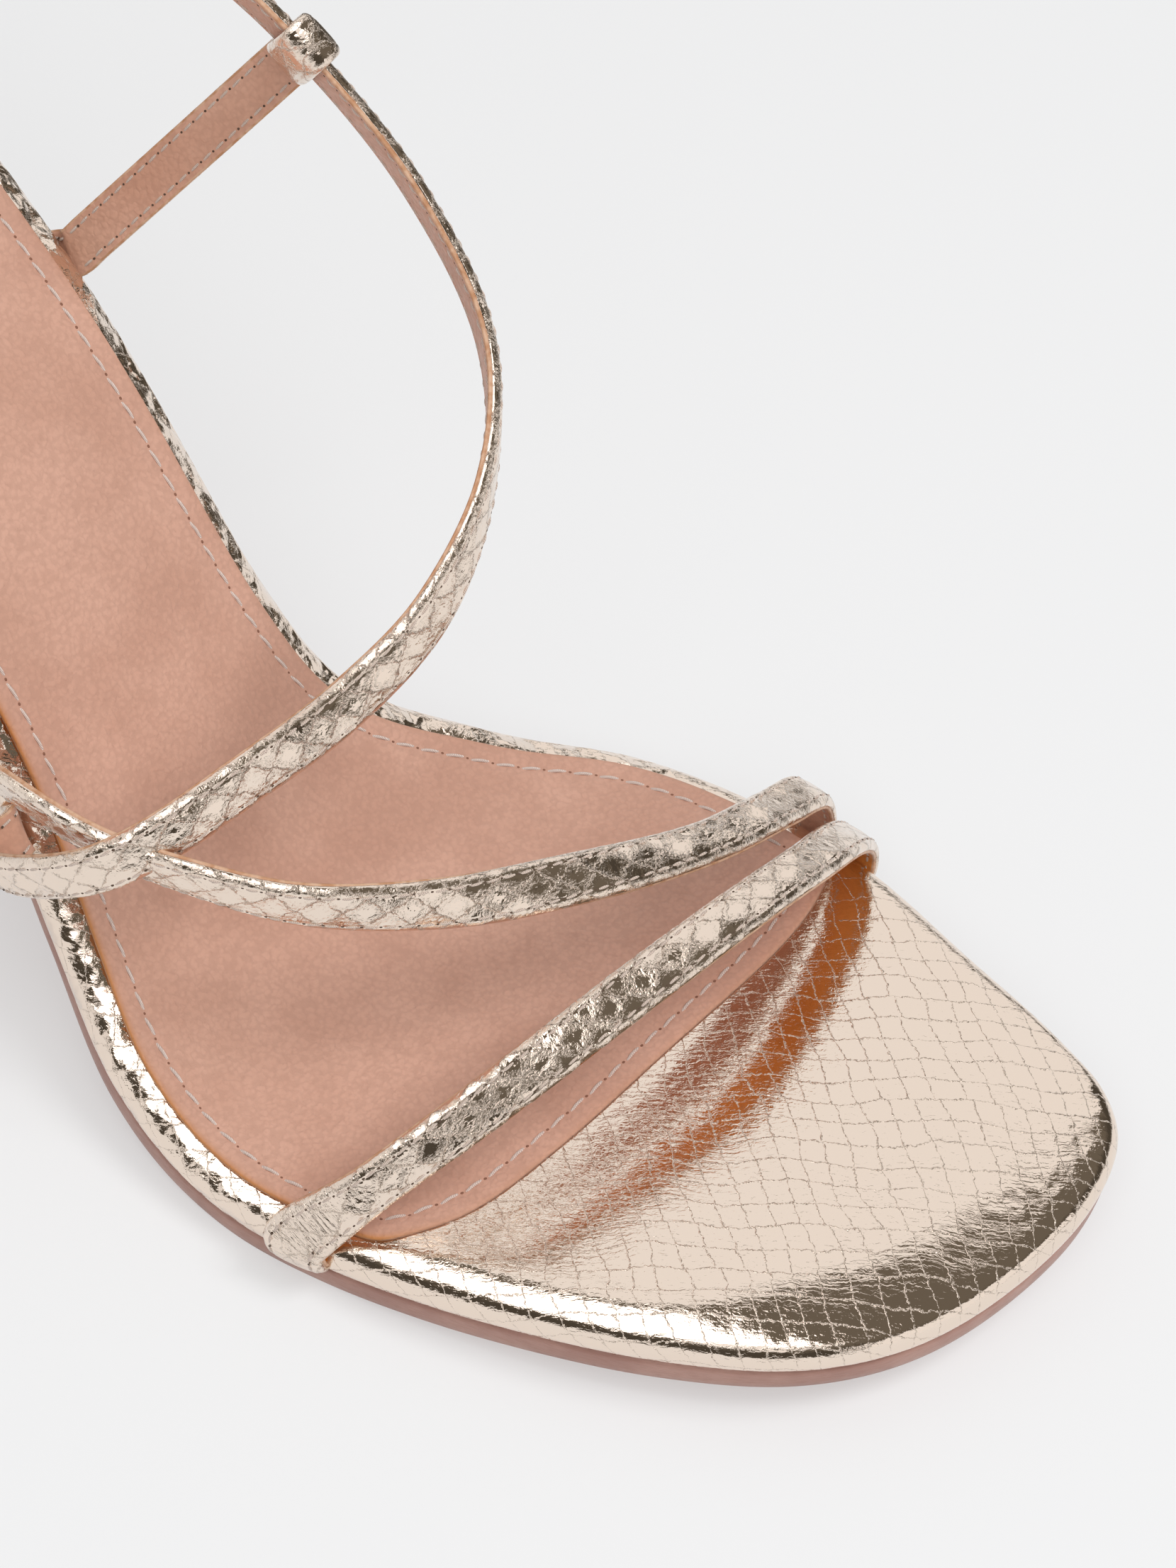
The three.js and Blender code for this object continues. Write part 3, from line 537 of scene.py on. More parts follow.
board_shape = smooth_at(
    # share of the roll that the edge is set in by, share of the thickness
    [
        (0.5, 0.02),
        (0.22, 0.05),
        (0.06, 0.15),
        (0.0, 0.36),
        (0.035, 0.54),
        (0.14, 0.705),
        (0.32, 0.835),
        (0.56, 0.925),
        (0.84, 0.98),
        (1.15, 1.0),
    ],
    np.linspace(0, 9, 46),
)
toe_end = smooth_step(0.86, 0.96, edge[:, 0] / sole_length)
board_rings = []
for inset, height in board_shape:
    spread = toe_round * smooth_step(0.2, 1.15, inset) * toe_end
    drop = toe_drop * (1 - smooth_step(0.3, 1.15, inset)) * smooth_step(0.05, 0.6, height) * toe_end
    board_rings.append((inset * board_roll + spread, height * board_thickness - drop))
gold_board = board_leather()
board_columns = 60
board = ringed_form("board_cover", board_rings, board_columns, board_crown, materials=[gold_board])
# The drawn edge wrinkles most at the waist, less at the heel, round the toe and on the outer side.
edge_share = edge[:, 0] / sole_length
heel_wrinkles = 0.4 + 0.6 * smooth_step(0.12, 0.3, edge_share)
toe_wrinkles = 1 - 0.88 * smooth_step(0.6, 0.74, edge_share)
side_wrinkles = np.where(edge[:, 1] < 0, 0.45, 1.0)
wrinkled = np.tile(heel_wrinkles * toe_wrinkles * side_wrinkles, len(board_rings))
folded = np.repeat([1 - smooth_step(0.6, 1.15, inset) for inset, height in board_shape], edge_count)
rolled = np.zeros(len(board.data.vertices), np.float32)
rolled[: len(folded)] = folded * wrinkled
board.data.attributes.new("rolled", "FLOAT", "POINT").data.foreach_set("value", rolled)
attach(board, "root")
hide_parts("wrapped_board")

# Sock lining: smooth nude leather cemented on the board's top up to a curved front edge ahead of
# the toe strap, its cut edge painted copper, with a row of long pale stitches inside the edge.
sock_margin_inner = 3.7
sock_margin_outer = 2.5
sock_front = 181.0
sock_rise = 0.5
sock_stitch_inset = 2.6
sock_stitch_pitch = 3.2
sock_stitch_sizes = {
    "Pitch": sock_stitch_pitch,
    "Length": 0.84 * sock_stitch_pitch,
    "Thread": 0.42,
    "Bow": 0.5,
    "Slant": 0.3,
    "Hole": 0.22,
}
paint_copper = (0.50, 0.20, 0.06, 1)
front_rows = [
    # behind the foremost point, share of the ball's width
    (0.085, -0.56),
    (0.054, -0.47),
    (0.03, -0.37),
    (0.016, -0.2),
    (0.008, 0.0),
    (0.0, 0.24),
    (0.002, 0.34),
    (0.012, 0.44),
    (0.03, 0.56),
]


def nude_leather(name, light, dark, grain):
    """Smooth nude leather: fine pores, cloudy tone, a soft satin sheen."""
    material, tree, shader, place = start_material(name)
    cloud = noise(tree, place, 0.07, 4, 0.55)
    mottle = noise(tree, place, 0.55, 4, 0.6)
    pores = noise(tree, place, 1.7, 3, 0.65)
    crumpled = vector_calc(tree, "ADD", place, noise(tree, place, 0.8, 2, output="Color"))
    sizes = {"Vector": crumpled, "Scale": 1.5, "Smoothness": 0.5}
    folds = node(tree, "ShaderNodeTexVoronoi", feature="SMOOTH_F1", inputs=sizes)
    fold = ramp(tree, folds.outputs["Distance"], 0.25, 0.75)
    tone = mix_colour(tree, ramp(tree, cloud, 0.35, 0.65), dark, light)
    tone = mix_colour(tree, ramp(tree, mottle, 0.5, 0.72, 0, 0.25), tone, darker(dark, 0.8))
    tone = mix_colour(tree, ramp(tree, pores, 0.52, 0.75, 0, 0.2), tone, darker(dark, 0.62))
    tone = mix_colour(tree, calc(tree, "MULTIPLY", fold, 0.26), tone, darker(dark, 0.7))
    paint = node(tree, "ShaderNodeAttribute", attribute_name="painted").outputs["Fac"]
    looks = {
        "Base Color": mix_colour(tree, paint, tone, paint_copper),
        "Roughness": ramp(tree, mottle, 0.3, 0.7, 0.42, 0.55),
        "Sheen Weight": 0.12,
        "Sheen Roughness": 0.4,
    }
    set_looks(tree, shader, looks, (pores, grain), (mottle, 1.5 * grain), (fold, -1.4 * grain))
    return material


def at_runs(points, run, places):
    """The path's points at some distances along it."""
    return np.stack([np.interp(places, run, points[:, k]) for k in range(points.shape[1])], -1)


def spaced(loop, step):
    """The closed outline's points again, evenly spaced."""
    full = np.vstack([loop, loop[:1]])
    run = run_along(full)
    count = max(int(round(run[-1] / step)), 2)
    return at_runs(full, run, np.linspace(0, run[-1], count + 1)[:count])


def inward(loop):
    """Inward normals of a closed plan outline that runs from the heel by the outer side."""
    along = unit(np.roll(loop, -1, axis=0) - np.roll(loop, 1, axis=0))
    return np.stack([-along[:, 1], along[:, 0]], -1)


def eased(loop, rounds):
    """The closed outline with its corners rounded."""
    for _ in range(rounds):
        loop = 0.5 * loop + 0.25 * (np.roll(loop, 1, axis=0) + np.roll(loop, -1, axis=0))
    return loop


def turn_outward(piece):
    """Closes what is open in a form and turns its faces outward."""
    form = bmesh.new()
    form.from_mesh(piece.data)
    bmesh.ops.holes_fill(form, edges=[e for e in form.edges if e.is_boundary])
    bmesh.ops.recalc_face_normals(form, faces=form.faces[:])
    form.to_mesh(piece.data)
    form.free()
    return piece


def stitch_tree(name, material, pit_shade_material):
    """Geometry Nodes: a run of thread stitches along a line, with dark pits at the needle holes as painted
    shade, its sizes as inputs.
    """
    tree = bpy.data.node_groups.new(name, "GeometryNodeTree")
    face = tree.interface
    face.new_socket("Geometry", in_out="INPUT", socket_type="NodeSocketGeometry")
    for title in ("Pitch", "Length", "Thread", "Bow", "Slant", "Hole"):
        face.new_socket(title, in_out="INPUT", socket_type="NodeSocketFloat")
    face.new_socket("Geometry", in_out="OUTPUT", socket_type="NodeSocketGeometry")
    start = node(tree, "NodeGroupInput")
    end = node(tree, "NodeGroupOutput")
    size = start.outputs
    route = node(tree, "GeometryNodeMeshToCurve", size["Geometry"])
    sizes = {"Curve": route.outputs[0], "Length": size["Pitch"]}
    spots = node(tree, "GeometryNodeResampleCurve", mode="LENGTH", inputs=sizes)
    half = calc(tree, "MULTIPLY", size["Length"], 0.5)
    sunk = calc(tree, "MULTIPLY", size["Thread"], -0.7)
    lean = calc(tree, "MULTIPLY", size["Slant"], 0.5)
    thread = node(tree, "GeometryNodeCurveQuadraticBezier", inputs={"Resolution": 6})
    ends = (
        ("Start", calc(tree, "MULTIPLY", half, -1.0), calc(tree, "MULTIPLY", lean, -1.0), sunk),
        ("Middle", 0.0, 0.0, size["Bow"]),
        ("End", half, lean, sunk),
    )
    for title, x, y, z in ends:
        tree.links.new(node(tree, "ShaderNodeCombineXYZ", x, y, z).outputs[0], thread.inputs[title])
    thread_half = calc(tree, "MULTIPLY", size["Thread"], 0.5)
    sizes = {"Resolution": 6, "Radius": thread_half}
    ring = node(tree, "GeometryNodeCurvePrimitiveCircle", inputs=sizes)
    parts = {"Curve": thread.outputs[0], "Profile Curve": ring.outputs[0], "Fill Caps": True}
    tube = node(tree, "GeometryNodeCurveToMesh", inputs=parts)
    smooth = node(tree, "GeometryNodeSetShadeSmooth", tube.outputs[0])
    dyed = node(tree, "GeometryNodeSetMaterial", smooth.outputs[0], inputs={"Material": material})
    # Each needle hole gets a squashed dark sphere: painted shade in the hole.
    sizes = {"Segments": 8, "Rings": 4, "Radius": size["Hole"]}
    pit = node(tree, "GeometryNodeMeshUVSphere", inputs=sizes)
    pit_place = node(tree, "ShaderNodeCombineXYZ", calc(tree, "MULTIPLY", size["Pitch"], 0.5), 0.0, 0.0)
    moves = {"Translation": pit_place.outputs[0], "Scale": (1.0, 0.8, 0.25)}
    sunk_pit = node(tree, "GeometryNodeTransform", pit.outputs[0], inputs=moves)
    dark = {"Material": pit_shade_material}
    shaded_pit_mesh = node(tree, "GeometryNodeSetMaterial", sunk_pit.outputs[0], inputs=dark)
    pair = node(tree, "GeometryNodeJoinGeometry")
    tree.links.new(dyed.outputs[0], pair.inputs[0])
    tree.links.new(shaded_pit_mesh.outputs[0], pair.inputs[0])
    up = node(tree, "GeometryNodeInputNamedAttribute", data_type="FLOAT_VECTOR", inputs={"Name": "up"})
    turn = node(tree, "FunctionNodeAxesToRotation", primary_axis="X", secondary_axis="Z")
    tree.links.new(node(tree, "GeometryNodeInputTangent").outputs[0], turn.inputs[0])
    tree.links.new(next(o for o in up.outputs if o.enabled), turn.inputs[1])
    parts = {"Points": spots.outputs[0], "Instance": pair.outputs[0], "Rotation": turn.outputs[0]}
    copies = node(tree, "GeometryNodeInstanceOnPoints", inputs=parts)
    whole = node(tree, "GeometryNodeRealizeInstances", copies.outputs[0])
    tree.links.new(whole.outputs[0], end.inputs[0])
    return tree


def sew(name, tree, runs, sizes):
    """Runs of stitches on lines of points with their up directions, as one plain mesh."""
    mesh = bpy.data.meshes.new(name)
    points = to_row(np.concatenate([path for path, ups in runs]))
    links = []
    first = 0
    for path, ups in runs:
        links += [(i, i + 1) for i in range(first, first + len(path) - 1)]
        first += len(path)
    mesh.from_pydata([tuple(p) for p in points], links, [])
    ups = np.concatenate([ups for path, ups in runs])
    layer = mesh.attributes.new("up", "FLOAT_VECTOR", "POINT")
    layer.data.foreach_set("vector", ups.astype(np.float32).ravel())
    guide = bpy.data.objects.new(name + "_guide", mesh)
    bpy.context.scene.collection.objects.link(guide)
    modifier = guide.modifiers.new("sewing", "NODES")
    modifier.node_group = tree
    for item in tree.interface.items_tree:
        if item.in_out == "INPUT" and item.name in sizes:
            modifier[item.identifier] = sizes[item.name] * 0.001
    view = bpy.context.evaluated_depsgraph_get()
    sewn = bpy.data.meshes.new_from_object(guide.evaluated_get(view), depsgraph=view)
    guide.modifiers.remove(modifier)
    bpy.data.objects.remove(guide)
    piece = bpy.data.objects.new(name, sewn)
    bpy.context.scene.collection.objects.link(piece)
    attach(piece, "root")


def thread_material(name, colour, rough):
    """Twisted sewing thread."""
    material, tree, shader, place = start_material(name)
    sizes = {"Vector": place, "Scale": 2.2, "Distortion": 1.5}
    twist = node(tree, "ShaderNodeTexWave", bands_direction="DIAGONAL", inputs=sizes).outputs["Fac"]
    tone = mix_colour(tree, twist, darker(colour, 0.62), colour)
    looks = {"Base Color": tone, "Roughness": rough, "Sheen Weight": 0.3}
    set_looks(tree, shader, looks, (twist, 0.05))
    return material


def painted_hole_shade(name, colour):
    """A dark dimple where the thread goes through: painted shade in the needle hole."""
    material, tree, shader, place = start_material(name)
    grain = noise(tree, place, 4.0, 2)
    tone = mix_colour(tree, grain, darker(colour, 0.6), colour)
    set_looks(tree, shader, {"Base Color": tone, "Roughness": 0.8})
    return material


front_line = smooth_at(
    [(sock_front - behind * sole_length, share * ball_width) for behind, share in front_rows],
    np.linspace(0, len(front_rows) - 1, 200),
)
inner_share = smooth_step(-0.1 * ball_width, 0.1 * ball_width, edge[:, 1])
sock_inset = sock_margin_outer + (sock_margin_inner - sock_margin_outer) * inner_share
rim = set_in(sock_inset)
behind_front = rim[:, 0] < np.interp(rim[:, 1], front_line[:, 1], front_line[:, 0])
last_outer = int(np.argmin(behind_front[: edge_half + 1]))
first_inner = edge_half + int(np.argmax(behind_front[edge_half:]))
across_front = front_line[
    (front_line[:, 1] > rim[last_outer - 1, 1] + 0.5) & (front_line[:, 1] < rim[first_inner, 1] - 0.5)
]
sock_loop = np.vstack([rim[:last_outer], across_front, rim[first_inner:]])
sock_loop = eased(spaced(sock_loop, 0.8), 6)
sock_in = inward(sock_loop)
sock_edge_rings = [
    # inset from the edge, share of the rise
    (0.0, -0.1),
    (0.0, 0.5),
    (0.1, 0.84),
    (0.28, 0.98),
    (0.7, 1.06),
    (1.4, 1.08),
    (2.0, 1.0),
    (2.4, 0.8),
    (2.8, 0.8),
    (3.2, 1.0),
    (3.8, 1.07),
    (4.8, 1.0),
]
sock_points = []
for inset, share in sock_edge_rings:
    at = sock_loop + sock_in * inset
    sock_points.append(
        lift(at[:, 0], at[:, 1], board_thickness + board_crown(at[:, 0], at[:, 1]) + share * sock_rise)
    )
count = len(sock_loop)
ring_starts = [k * count for k in range(len(sock_edge_rings))]
sock_faces = [face for a, b in zip(ring_starts, ring_starts[1:]) for face in band(a, b, count)]
inner_loop = sock_loop + sock_in * sock_edge_rings[-1][0]
grid_step = 2.0
grid = np.stack(
    np.meshgrid(
        np.arange(inner_loop[:, 0].min(), inner_loop[:, 0].max(), grid_step),
        np.arange(inner_loop[:, 1].min(), inner_loop[:, 1].max(), grid_step),
        indexing="ij",
    ),
    -1,
).reshape(-1, 2)
apart = np.linalg.norm(grid[:, None] - inner_loop[None], axis=2)
closest = apart.argmin(1)
inside = np.einsum("ij,ij->i", grid - inner_loop[closest], sock_in[closest]) > 0.45 * grid_step
plan = np.vstack([inner_loop, grid[inside & (apart.min(1) > 0.45 * grid_step)]])
fill = geometry.delaunay_2d_cdt(
    [Vector(p) for p in plan], [(i, (i + 1) % count) for i in range(count)], [], 1, 1e-6
)
filled = np.array([tuple(v) for v in fill[0]])
board_top = board_thickness + board_crown(filled[:, 0], filled[:, 1])
centre_points = lift(filled[:, 0], filled[:, 1], board_top + sock_rise)
offset = ring_starts[-1]
sock_faces += [tuple(offset + i for i in f) for f in fill[2]]
under_points = lift(filled[:, 0], filled[:, 1], board_top + sock_edge_rings[0][1] * sock_rise)
under = offset + len(centre_points)
sock_faces += [(i, under + i, under + (i + 1) % count, (i + 1) % count) for i in range(count)]
sock_faces += [tuple(under + i for i in reversed(f)) for f in fill[2]]
sock_all = np.vstack([*sock_points[:-1], centre_points, under_points])
painted = np.zeros(len(sock_all))
faces_outer_side = smooth_step(0.45, 0.85, sock_in[:, 1])
for ring, share in enumerate((1.0, 1.0, 0.9, 0.5, 0.1)):
    painted[ring * count : (ring + 1) * count] = share * (0.2 + 0.8 * faces_outer_side)
sock_light = (0.655, 0.382, 0.285, 1)
sock_dark = (0.575, 0.322, 0.235, 1)
nude_sock = nude_leather("sock_nude_leather", sock_light, sock_dark, 0.035)
sock = make_piece(
    "sock_leather", sock_all, sock_faces, materials=[nude_sock], attributes={"painted": painted}
)
turn_outward(sock)
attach(sock, "root")
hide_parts("sock_lining")

seam = eased(spaced(sock_loop + sock_in * sock_stitch_inset, 0.5), 8)
seam = np.vstack([seam, seam[:1]])
seam_height = board_thickness + board_crown(seam[:, 0], seam[:, 1]) + 0.8 * sock_rise
seam_path = lift(seam[:, 0], seam[:, 1], seam_height)
seam_up = unit(lift(seam[:, 0], seam[:, 1], seam_height + 1) - seam_path)
pale_thread = thread_material("sock_thread", (0.86, 0.70, 0.62, 1), 0.55)
# Dark pits at the sock's needle holes: painted shade.
sock_pit_shade = painted_hole_shade("sock_needle_hole_painted_shade", (0.30, 0.14, 0.09, 1))
sock_sewing = stitch_tree("sock_sewing", pale_thread, sock_pit_shade)
sew("sock_stitches", sock_sewing, [(seam_path, seam_up)], sock_stitch_sizes)

# Heel block: a slim stiletto of hard plastic, covered in the board's foil leather with the seam
# down its front, screwed up into the seat. The rubber top piece is pinned into its tip.
heel_seat = 46.0
heel_tip_length = 12.5
heel_tip_width = 12.0
top_piece_height = 6.0
seat_inset = 1.2
heel_sections = [
    # down, length, width, back
    (0.0, 1.0, 1.0, 0.02),
    (0.08, 0.8, 0.87, 0.035),
    (0.18, 0.55, 0.66, 0.075),
    (0.32, 0.3, 0.4, 0.13),
    (0.48, 0.13, 0.19, 0.18),
    (0.66, 0.03, 0.05, 0.21),
    (0.84, -0.01, -0.02, 0.22),
    (1.0, 0, 0, 0.215),
]
seat_half = max(
    np.interp(0.8 * heel_seat, inner_edge[:, 0], inner_edge[:, 1]),
    -np.interp(0.8 * heel_seat, outer_edge[:, 0], outer_edge[:, 1]),
)
heel_steps = 70
heel_around = 96
heel_places = np.linspace(0, len(heel_sections) - 1, heel_steps + 1)
heel_sizes = smooth_at([row[1:] for row in heel_sections], heel_places)
heel_down = smooth_at([(row[0], 0, 0) for row in heel_sections], heel_places)[:, 0]
heel_base = top_piece_height + 0.05


def heel_ring(size, down):
    """One level of the heel: the seat's own plan drawn in, with a shallow hollow at the front."""
    length = heel_tip_length + size[0] * (heel_seat - heel_tip_length - 2 * seat_inset)
    half = heel_tip_width / 2 + size[1] * (seat_half - heel_tip_width / 2 - seat_inset)
    share = 1 - np.cos(np.linspace(0, math.pi / 2, 40))
    outer = np.interp(share * heel_seat, outer_edge[:, 0], outer_edge[:, 1]) / seat_half * half
    inner = np.interp(share * heel_seat, inner_edge[:, 0], inner_edge[:, 1]) / seat_half * half
    x = size[2] * heel_seat + share * length
    front = np.linspace(0.08, 0.92, 14)
    hollow = 0.09 * half * (1 - (2 * front - 1) ** 2)
    breast_y = outer[-1] + (inner[-1] - outer[-1]) * front
    breast = np.stack([x[-1] - hollow, breast_y], -1)
    loop = np.vstack([np.stack([x, outer], -1), breast, np.stack([x, inner], -1)[:0:-1]])
    fine = spaced(loop, np.linalg.norm(np.diff(loop, axis=0), axis=1).sum() / 400)
    fine = eased(fine, 14)
    loop = fine[np.linspace(0, len(fine), heel_around, endpoint=False).astype(int)]
    top = lift(loop[:, 0], loop[:, 1], 0.28)[:, 2]
    return np.column_stack([loop, heel_base + (top - heel_base) * (1 - down)])


def closed_loft(name, levels, **looks):
    """Rings joined into a closed form, with caps at both ends and the pattern laid round it."""
    levels = np.asarray(levels)
    steps, around = levels.shape[:2]
    points = np.vstack([levels.reshape(-1, 3), levels[0].mean(0), levels[-1].mean(0)])
    faces = []
    corners = []
    down = np.concatenate([[0], np.cumsum(np.linalg.norm(np.diff(levels, axis=0), axis=2).mean(1))])
    waist = levels[steps // 3]
    turn = run_along(np.vstack([waist, waist[:1]]))
    for j in range(steps - 1):
        for i in range(around):
            k = (i + 1) % around
            faces.append((j * around + k, j * around + i, (j + 1) * around + i, (j + 1) * around + k))
            near, far, high, low = turn[i], turn[i + 1], -down[j], -down[j + 1]
            corners.append([(far, high), (near, high), (near, low), (far, low)])
    for level, middle, order in ((0, len(points) - 2, 1), (steps - 1, len(points) - 1, -1)):
        for i in range(around):
            a, b = level * around + i, level * around + (i + 1) % around
            faces.append((a, b, middle)[::order])
            corners.append([tuple(points[v, :2]) for v in (a, b, middle)[::order]])
    return turn_outward(make_piece(name, points, faces, uv=corners, **looks))


heel_levels = [heel_ring(size, down) for size, down in zip(heel_sizes, heel_down)]
heel = closed_loft("heel_cover", heel_levels, materials=[gold_board])
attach(heel, "root")
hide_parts("heel_block")


def heel_rubber():
    """Hard tan rubber with a fine matt grain."""
    material, tree, shader, place = start_material("heel_rubber")
    grain = noise(tree, place, 3.0, 3)
    tone = mix_colour(tree, grain, (0.30, 0.165, 0.115, 1), (0.38, 0.22, 0.16, 1))
    looks = {"Base Color": tone, "Roughness": ramp(tree, grain, 0.3, 0.7, 0.6, 0.75)}
    set_looks(tree, shader, looks, (grain, 0.05))
    return material


tip_ring = heel_levels[-1]
tip_middle = tip_ring.mean(0)
top_rows = [
    # height, size against the heel's tip
    (top_piece_height, 1.0),
    (5.9, 1.03),
    (5.0, 1.03),
    (0.8, 1.03),
    (0.25, 1.02),
    (0.0, 0.97),
]
top_levels = []
for z, grow in top_rows:
    level = tip_middle + (tip_ring - tip_middle) * grow
    level[:, 2] = z
    top_levels.append(level)
top_piece = closed_loft("heel_tip", top_levels, materials=[heel_rubber()])
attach(top_piece, "root")
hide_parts("heel_top_piece")

# Toe strap: a gold leather strip turned over at its edges and lined with nude leather, stitched
# along both edges. Its lining is coloured copper orange as a painted reflection, which the foil
# under the strap mirrors. Its ends run in under the board and are cemented there.
clearance = 0.3
strap_width = 6.0
strap_thickness = 1.8
strap_tuck = 7.0
strap_step = 0.75
strap_scale_length = 5.0
strap_scale_width = 3.6
strap_stitch_pitch = 2.1
strap_stitch_inset = 1.02
strap_stitch_sizes = {
    "Pitch": strap_stitch_pitch,
    "Length": 0.8 * strap_stitch_pitch,
    "Thread": 0.34,
    "Bow": 0.32,
    "Slant": 0.15,
    "Hole": 0.21,
}
instep_height = 60.0
blend_reach = 0.13 * instep_height
strap_section = [
    # across from the middle and outward, as shares of the half width and half thickness
    (0.0, 1.0),
    (0.28, 0.985),
    (0.48, 0.93),
    (0.6, 0.86),
    (0.66, 0.79),
    (0.71, 0.81),
    (0.78, 0.75),
    (0.86, 0.59),
    (0.93, 0.36),
    (0.98, 0.1),
    (1.0, -0.14),
    (0.99, -0.3),
    (0.965, -0.4),
    (0.945, -0.45),
    (0.965, -0.5),
    (0.985, -0.62),
    (0.985, -0.78),
    (0.955, -0.92),
    (0.9, -0.98),
    (0.77, -0.97),
    (0.71, -0.93),
    (0.66, -0.97),
    (0.4, -1.0),
    (0.0, -1.0),
]
gold_rows = 12
painted_rows = 18
# Middle of the foot inside the straps: along, and height as a share of the instep's.
foot_axis = [
    (0.98, -0.04),
    (0.83, 0.06),
    (0.7, 0.25),
    (0.568, 0.57),
    (0.437, 0.6),
    (0.328, 0.62),
    (0.253, 0.92),
    (0.218, 1.46),
]
# Straps over the foot: along, to the inner side, height as a share of the instep's.
toe_rows = [
    (0.725, -0.464, 0.14),
    (0.752, -0.31, 0.25),
    (0.773, -0.095, 0.305),
    (0.786, 0.107, 0.3),
    (0.789, 0.286, 0.222),
    (0.786, 0.404, 0.135),
]
toe_base = (0.697, 0.781)


def edge_at(along, inner):
    """The outline's point, outward and forward directions on one side."""
    x = along * sole_length
    order = range(edge_half, edge_count) if inner else range(edge_half)
    for i in order:
        a, b = i, (i + 1) % edge_count
        if (edge[a, 0] - x) * (edge[b, 0] - x) <= 0:
            t = (x - edge[a, 0]) / (edge[b, 0] - edge[a, 0])
            rows = (edge, edge_out, edge_tangent)
            point, out, ahead = (row[a] + (row[b] - row[a]) * t for row in rows)
            return point, unit(out), unit(ahead)


def row_points(rows):
    x = np.array([row[0] for row in rows]) * sole_length
    y = np.array([row[1] for row in rows]) * ball_width
    z = footbed_height(x) + board_thickness + np.array([row[2] for row in rows]) * instep_height
    return np.stack([x, y, z], -1)


axis_points = row_points([(along, 0, rise) for along, rise in foot_axis])


def outward_from(points):
    """Directions away from the middle of the foot."""
    points = np.atleast_2d(points)
    starts, spans = axis_points[:-1], np.diff(axis_points, axis=0)
    share = np.einsum("pki,ki->pk", points[:, None] - starts[None], spans) / (spans**2).sum(1)
    spots = starts + np.clip(share, 0, 1)[..., None] * spans
    distance = ((points[:, None] - spots) ** 2).sum(-1)
    weight = np.exp((distance.min(1, keepdims=True) - distance) / blend_reach**2)
    middle = (spots * weight[..., None]).sum(1) / weight.sum(1, keepdims=True)
    return unit(points - middle)


def tucked_end(along, inner, thickness):
    """Controls of a strap's end: under the board, round its lower edge and up its side."""
    point, out, ahead = edge_at(along, inner)
    away = clearance + thickness / 2
    path = [
        (-strap_tuck, away),
        (-0.35 * board_roll, away),
        (0.12 * board_roll, away + 0.12 * board_thickness),
        (away, away + 0.38 * board_thickness),
        (away, 0.85 * board_thickness),
    ]
    across = unit(lift(*(point + ahead), 0) - lift(*point, 0))
    return [(lift(*(point + out * offset), height), across) for offset, height in path]


def leaning_end(along, inner, thickness, lean):
    """Controls of an end that comes up the board's side at a slant, in degrees off square."""
    slope = math.tan(math.radians(lean))
    straight = tucked_end(along, inner, thickness)
    gaps = [np.linalg.norm(b[0] - a[0]) for a, b in zip(straight, straight[1:])]
    reach = [sum(gaps[k:]) for k in range(len(straight))]
    starts = [along - 0.75 * slope * run / sole_length for run in reach]
    controls = [tucked_end(start, inner, thickness)[k] for k, start in enumerate(starts)]
    points = [at for at, across in controls]
    turned = []
    for k, (at, across) in enumerate(controls):
        travel = unit(points[min(k + 1, len(points) - 1)] - points[max(k - 1, 0)])
        turned.append((at, unit(across - (across @ travel) * travel)))
    return turned


def straight_run(start, finish, shares):
    """Controls on a straight line between two others."""
    turn = -1 if start[1] @ finish[1] < 0 else 1
    return [
        (start[0] + (finish[0] - start[0]) * t, unit(start[1] * (1 - t) + turn * finish[1] * t))
        for t in shares
    ]


def strap_rows(rows):
    """Controls of a strap over the foot, lying flat on it."""
    points = row_points(rows)
    wide = np.vstack([points[:1], points, points[-1:]])
    along = unit(wide[2:] - wide[:-2])
    return list(zip(points, unit(np.cross(along, outward_from(points)))))


def swept(*runs):
    """A strap's middle line, width and outward directions, and its run, from its controls."""
    controls = [np.concatenate(control) for run in runs for control in run]
    for a, b in zip(controls, controls[1:]):
        if a[3:] @ b[3:] < 0:
            b[3:] *= -1
    controls = np.array(controls) * [1, 1, 1, 0.1, 0.1, 0.1]
    fine = smooth_at(controls, np.linspace(0, len(controls) - 1, 60 * len(controls)))
    run = run_along(fine[:, :3])
    places = np.linspace(0, run[-1], int(run[-1] / strap_step) + 1)
    fine = at_runs(fine, run, places)
    along = unit(np.gradient(fine[:, :3], axis=0))
    across = fine[:, 3:] - (fine[:, 3:] * along).sum(1, keepdims=True) * along
    across = unit(across)
    out = np.cross(along, across)
    middle = len(out) // 2
    if (out[middle] * outward_from(fine[middle, :3])[0]).sum() < 0:
        across, out = -across, -out
    return {"at": fine[:, :3], "across": across, "out": out, "run": places}


